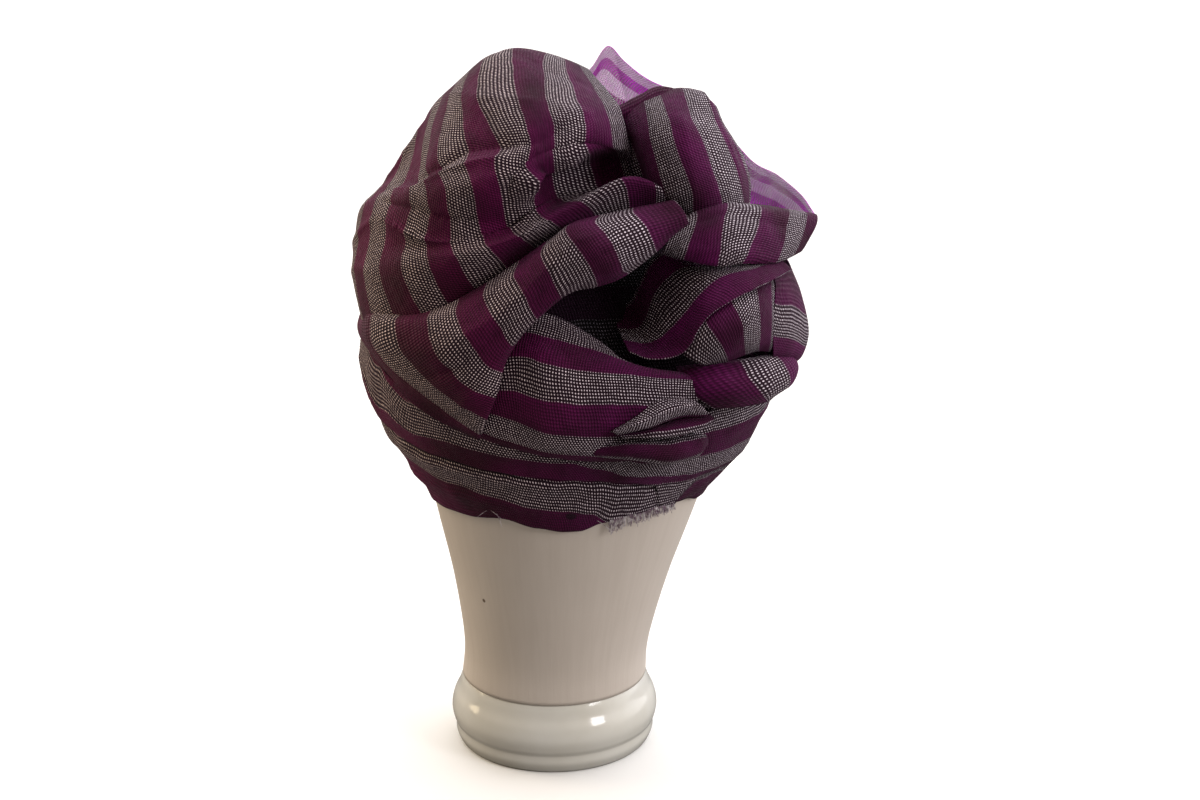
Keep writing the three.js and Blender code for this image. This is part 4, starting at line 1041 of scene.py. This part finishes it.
LOBE_CREASES = [
    dict(
        path=((3.0, 2.7), (4.0, 2.2), (4.9, 1.9), (6.1, 1.65), (7.4, 1.8), (9.0, 1.9)),
        width=4, lift=-4.6,
    ),
    dict(path=((3.0, 3.2), (4.0, 2.75), (5.0, 2.45), (6.0, 2.2)), width=4, lift=2.8),
    dict(
        path=((3.2, 4.8), (5.0, 4.3), (5.5, 4.9), (7.0, 4.8), (8.1, 5.0), (9.6, 5.2)),
        width=5, lift=3.6,
    ),
    dict(path=((3.0, 3.8), (4.0, 3.5), (4.9, 3.7), (5.7, 4.2), (6.4, 4.4)), width=5, lift=-3.8),
    dict(path=((1.8, 1.6), (2.6, 2.2), (3.2, 2.6)), width=5, lift=-2.2),
    dict(path=((2.2, 4.5), (3.0, 5.6), (3.8, 6.3)), width=6, lift=-2.4),
    dict(
        path=((6.2, 2.3), (6.2, 2.8), (6.5, 3.5), (7.0, 4.1), (7.8, 4.5), (8.6, 4.4), (9.2, 4.0),
              (9.7, 3.1)),
        width=6, lift=4.5,
    ),
    dict(path=((6.9, 2.4), (7.0, 3.0), (7.7, 3.6), (8.4, 3.8), (8.9, 2.8)), width=7, lift=-6.0),
    dict(path=((3.6, 1.3), (5.0, 1.1), (6.5, 1.0), (8.0, 1.1)), width=7, lift=1.5),
    dict(path=((4.6, 6.3), (6.0, 6.0), (8.2, 5.8)), width=6, lift=-1.3),
    dict(path=((5.4, 7.3), (7.5, 6.7), (9.5, 6.2)), width=5, lift=1.1),
    dict(path=((1.0, 2.3), (2.4, 3.4), (3.6, 4.4)), width=7, lift=1.4),
    dict(path=((0.6, 4.4), (2.0, 5.2), (3.8, 5.9)), width=6, lift=-1.5),
    dict(path=((1.2, 0.9), (2.6, 1.2), (3.6, 1.0)), width=6, lift=-1.2),
    dict(path=((0.4, 8.0), (3.0, 8.8), (6.0, 9.0), (9.6, 9.2)), width=7, lift=2.0),
    dict(path=((1.5, 7.2), (4.0, 8.1), (7.0, 8.3)), width=6, lift=-1.6),
]
lobe_cloth = lay_cloth(
    "lobe_cloth", LEFT_LOBE, (-110, -66, -20, 16, 48, 80, 112, 128, 144, 164, 188), outer_mesh,
    creases=LOBE_CREASES,
)
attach(lobe_cloth, "root")
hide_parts("left_lobe")

# Right upper petal
# The other end of the knot, spread out into a tall petal. Its top left edge is rolled over.

# Rows run to the right along the rolled edge, and columns over it from behind to the front.
PETAL_ROLL = [
    dict(behind=(37, -33, 390), over=(36, -43, 392), front=(37, -51, 387), under=(42, -48, 380)),
    dict(behind=(49, -34, 397), over=(49, -44, 399), front=(50, -53, 394), under=(54, -51, 386)),
    dict(behind=(61, -34, 402), over=(61, -42, 404), front=(62, -50, 400), under=(65, -50, 393)),
    dict(behind=(74, -37, 401), over=(76, -40, 401), front=(78, -43, 399), under=(80, -44, 396)),
]

# Rows run up the front, over the top and down behind, and columns from the left to the right.
RIGHT_UPPER_PETAL = [
    dict(inside=(46, -46, 344), curl=(56, -70, 344), inner=(62, -76, 341), middle=(79, -80, 338),
         outer=(95, -70, 338), back=(109, -46, 336), edge=(114, -18, 334)),
    dict(inside=(40, -40, 358), curl=(53, -70, 354), inner=(58, -83, 355), middle=(76, -92, 356),
         outer=(91, -84, 356), back=(105, -56, 352), edge=(114, -20, 348)),
    dict(inside=(35, -35, 372), curl=(47, -62, 372), inner=(52, -76, 376), middle=(69, -90, 375),
         outer=(84, -84, 375), back=(98, -58, 372), edge=(108, -22, 366)),
    dict(inside=(33, -30, 384), curl=(42, -54, 382), inner=(50, -66, 387), middle=(65, -76, 391),
         outer=(77, -74, 390), back=(91, -52, 387), edge=(98, -20, 382)),
    dict(inside=(32, -20, 390), curl=(38, -40, 388), inner=(49, -45, 396), middle=(61, -44, 401),
         outer=(73, -42, 403), back=(85, -32, 400), edge=(93, -10, 391)),
    dict(inside=(34, 0, 384), curl=(40, -14, 384), inner=(52, -10, 390), middle=(63, -6, 392),
         outer=(74, 0, 390), back=(85, 6, 383), edge=(91, 12, 374)),
    dict(inside=(40, 16, 366), curl=(46, 10, 366), inner=(55, 16, 368), middle=(65, 20, 368),
         outer=(75, 22, 364), back=(84, 24, 357), edge=(90, 26, 348)),
]

petal_roll_cloth = lay_cloth(
    "petal_roll_cloth", PETAL_ROLL, (30, 38, 44, 50), outer_mesh, rumples=0.3, size=9
)
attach(petal_roll_cloth, "root")
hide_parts("petal_roll")

PETAL_CREASES = [
    dict(path=((5.1, 0.5), (5.2, 2.5), (4.9, 4.3)), width=3, lift=-1.5),
    dict(path=((5.6, 0.8), (5.7, 2.5), (5.5, 4.3)), width=3, lift=1.2),
    dict(path=((3.0, 0.4), (3.3, 1.8), (3.7, 3.2)), width=5, lift=-1.2),
    dict(path=((4.1, 0.3), (4.2, 2.0), (4.2, 3.6)), width=4, lift=0.9),
]
petal_cloth = lay_cloth(
    "upper_petal_cloth", RIGHT_UPPER_PETAL, (-12, 0, 9, 32, 47.5, 64, 84), outer_mesh,
    creases=PETAL_CREASES,
)
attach(petal_cloth, "root")
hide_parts("right_upper_petal")

# Back fan
# A single layer of the cloth that stands up behind, so light comes through its mesh. It has a peak at
# the middle and runs down to the folded corner on the right.

# Rows run from the left over the peak to the right, and columns from the free edge down.
BACK_FAN = [
    dict(edge=(6, 46, 398), upper=(6, 48, 386), middle=(6, 52, 370), tuck=(6, 58, 352)),
    dict(edge=(22, 42, 407), upper=(20, 45, 394), middle=(19, 50, 374), tuck=(19, 58, 352)),
    dict(edge=(33, 40, 421), upper=(30, 43, 405), middle=(28, 49, 380), tuck=(28, 58, 352)),
    dict(edge=(43, 40, 412), upper=(40, 44, 398), middle=(38, 50, 376), tuck=(38, 58, 350)),
    dict(edge=(58, 42, 401), upper=(55, 46, 389), middle=(54, 51, 370), tuck=(52, 58, 346)),
    dict(edge=(86, 40, 389), upper=(82, 44, 377), middle=(79, 50, 358), tuck=(76, 56, 334)),
    dict(edge=(102, 30, 373), upper=(101, 36, 363), middle=(98, 43, 344), tuck=(95, 50, 322)),
    dict(edge=(118, 20, 356), upper=(116, 26, 346), middle=(113, 34, 328), tuck=(110, 42, 308)),
    dict(edge=(133, 12, 348), upper=(131, 17, 339), middle=(129, 24, 322), tuck=(125, 31, 308)),
    dict(edge=(145, 4, 339), upper=(143, 8, 332), middle=(140, 14, 318), tuck=(134, 20, 308)),
    dict(edge=(152, -12, 329), upper=(150, -7, 325), middle=(146, 0, 314), tuck=(140, 8, 310)),
]

# The daylight behind it shines through the single layer's open mesh and its subsurface scattering; its
# colours are also painted far brighter than the outer cloth's, as painted light for the glow.
glow_painted_single_mesh = mesh_cloth(
    "glow_painted_single_mesh", purple=(0.98, 0.03, 0.82), silver=(1.0, 0.98, 1.0), ground=(0.33, 0.15, 0.29),
    openness=0.55, crumple=0.3,
)
single_shader = glow_painted_single_mesh.node_tree.nodes["Principled BSDF"]
single_shader.inputs["Subsurface Weight"].default_value = 0.6
single_shader.inputs["Subsurface Scale"].default_value = 0.0015
single_shader.inputs["Subsurface Radius"].default_value = (1.0, 0.6, 1.0)

FAN_CREASES = [
    dict(path=((0.0, 2.4), (1.4, 3.4), (2.8, 4.6)), width=3, lift=1.4),
    dict(path=((0.2, 5.2), (1.4, 5.8), (2.8, 6.4)), width=3, lift=-1.2),
    dict(path=((0.0, 7.4), (1.2, 8.0), (2.6, 8.4)), width=3, lift=1.2),
]
fan_cloth = lay_cloth(
    "fan_cloth", BACK_FAN, (15, 52, 84, 108), glow_painted_single_mesh, creases=FAN_CREASES, rumples=0.5, size=14
)
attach(fan_cloth, "root")
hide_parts("back_fan")

# Crown
# The first turns of the cloth over the head, gathered in pleats round the back and closed on top.
# In front it lies under the folds; there its colour is darkened almost to black as painted shade, and
# the whole crown has a darker copy of the outer cloth's colours as painted shade.
CROWN_PLEATS = 9
CROWN_PLEAT_DEPTH = 3.2
# The pleats turn by this angle on their way up, in radians.
CROWN_TWIST = 5.2
CROWN_STEPS = 288
CROWN_RISE_STEPS = 72
# Threads across the stripes from the hem to the top, and the radius at which the others are counted.
CROWN_THREADS = (48, 198)
CROWN_COUNT_RADIUS = 95

# Rings from the hem to the top: height, centre to the right and back, half width and half depth.
CROWN_RINGS = [
    dict(up=226, centre=11, out=2, across=105, deep=96),
    dict(up=246, centre=11, out=8, across=106, deep=93),
    dict(up=266, centre=11, out=15, across=105, deep=86),
    dict(up=286, centre=12, out=19, across=102, deep=75),
    dict(up=304, centre=13, out=21, across=95, deep=63),
    dict(up=320, centre=14, out=23, across=83, deep=52),
    dict(up=333, centre=15, out=25, across=64, deep=39),
    dict(up=342, centre=15, out=26, across=40, deep=25),
    dict(up=346, centre=15, out=26, across=14, deep=9),
]

# A darker copy of the outer mesh's colours, painted shade for the crown seen in the hollow; forward of
# shaded_to it is darkened further as painted shade.
shade_painted_inner_mesh = mesh_cloth(
    "shade_painted_inner_mesh", purple=(0.085, 0.004, 0.046), silver=(0.85, 0.72, 0.75),
    ground=(0.008, 0.002, 0.005), openness=0.0, shaded_to=0.01,
)
crown_places = np.array([list(row.values()) for row in CROWN_RINGS])
crown_rings = curve_weights(len(CROWN_RINGS), CROWN_RISE_STEPS) @ crown_places
crown_grid = np.zeros((CROWN_STEPS + 1, CROWN_RISE_STEPS + 1, 3))
crown_threads = np.zeros((CROWN_STEPS + 1, CROWN_RISE_STEPS + 1, 2))
for i, angle in enumerate(np.linspace(0, 2 * math.pi, CROWN_STEPS + 1)):
    for j, (up, centre, back, across, deep) in enumerate(crown_rings):
        rise = j / CROWN_RISE_STEPS
        pleat_wave = math.cos(CROWN_PLEATS * angle + CROWN_TWIST * rise)
        pleat = CROWN_PLEAT_DEPTH * pleat_wave * math.sin(math.pi * rise)
        crown_grid[i, j] = (
            centre + (across + pleat) * math.sin(angle),
            back - (deep + pleat) * math.cos(angle),
            up,
        )
        low_thread, high_thread = CROWN_THREADS
        thread = low_thread + (high_thread - low_thread) * rise
        crown_threads[i, j] = (thread, angle * CROWN_COUNT_RADIUS)
crown_grid = rumple(crown_grid, depth=0.7, size=18)
crown_grid[-1] = crown_grid[0]
crown_cloth = cloth_piece("crown_cloth", crown_grid, crown_threads, shade_painted_inner_mesh, hoop=True)
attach(crown_cloth, "root")
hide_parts("crown_wrap")

# Floor, light and camera
# A plain white table in a dim room, with soft daylight from above and behind. The camera stands in
# front, a little above the cloth, and looks down on it. The table throws back less light than it shows.
TABLE_HALF_WIDTH = 30
TABLE_THROWN = (0.20, 0.195, 0.19, 1)
TABLE_SEEN = (0.96, 0.96, 0.96, 1)
CAMERA_PLACE = (0.0285, -1.0, 0.485)
CAMERA_TILT_DOWN = 15.1
LENS_LENGTH = 51.84
SENSOR_WIDTH = 36

floor_bm = bmesh.new()
bmesh.ops.create_grid(floor_bm, x_segments=1, y_segments=1, size=TABLE_HALF_WIDTH)
floor_mesh = bpy.data.meshes.new("table_top")
floor_bm.to_mesh(floor_mesh)
floor_bm.free()
table_top = bpy.data.objects.new("table_top", floor_mesh)
bpy.context.scene.collection.objects.link(table_top)
table_finish, table_tree, table_shader = new_finish("white_table", 0.9)
seen = add_node(table_tree, "ShaderNodeLightPath").outputs["Is Camera Ray"]
table_colour = blend_colours(table_tree, seen, TABLE_THROWN, TABLE_SEEN)
table_tree.links.new(table_colour, table_shader.inputs["Base Color"])
floor_mesh.materials.append(table_finish)

# Daylight comes from above and behind, mostly from the right. The room in front is dim and warm.
DAYLIGHT_DIRECTION = (0.38, 0.62, 0.69)
ROOM_STRENGTH = 0.20
DAYLIGHT_STRENGTH = 1.75
ROOM_COLOUR = (1.0, 0.84, 0.64, 1)
DAYLIGHT_COLOUR = (1.0, 0.99, 1.0, 1)
world = bpy.data.worlds.new("room_and_daylight")
world.use_nodes = True
sky = world.node_tree
way = add_node(sky, "ShaderNodeTexCoord").outputs["Generated"]
facing = add_node(sky, "ShaderNodeVectorMath", {0: way, 1: DAYLIGHT_DIRECTION}, operation="DOT_PRODUCT")
window = remap(sky, facing.outputs["Value"], -0.30, 0.80, 0.0, 1.0, smooth=True)
sky_colour = blend_colours(sky, window, ROOM_COLOUR, DAYLIGHT_COLOUR)
sky.links.new(sky_colour, sky.nodes["Background"].inputs["Color"])
sky.links.new(
    reckon(sky, "MULTIPLY_ADD", window, DAYLIGHT_STRENGTH, ROOM_STRENGTH),
    sky.nodes["Background"].inputs["Strength"],
)
bpy.context.scene.world = world


def soft_box(name, place, target, size, power, colour):
    """A square lamp at a place, turned to its target."""
    lamp = bpy.data.lights.new(name, "AREA")
    lamp.shape = "SQUARE"
    lamp.size = size
    lamp.energy = power
    lamp.color = colour
    holder = bpy.data.objects.new(name, lamp)
    holder.location = place
    holder.rotation_euler = (Vector(target) - Vector(place)).to_track_quat("-Z", "Y").to_euler()
    bpy.context.scene.collection.objects.link(holder)


MIDDLE = (0, 0, 0.2)
soft_box("window_light", (1.4, -1.1, 0.9), MIDDLE, size=0.5, power=9, colour=(1.0, 0.98, 1.0))
soft_box("warm_lamp", (-1.6, 0.5, 0.7), MIDDLE, size=0.9, power=11, colour=(1.0, 0.80, 0.52))

lens = bpy.data.cameras.new("front_camera")
lens.sensor_width = SENSOR_WIDTH
lens.lens = LENS_LENGTH
camera = bpy.data.objects.new("front_camera", lens)
camera.location = CAMERA_PLACE
camera.rotation_euler = (math.radians(90 - CAMERA_TILT_DOWN), 0, 0)
bpy.context.scene.collection.objects.link(camera)
bpy.context.scene.camera = camera
bpy.context.scene.view_settings.view_transform = "Standard"
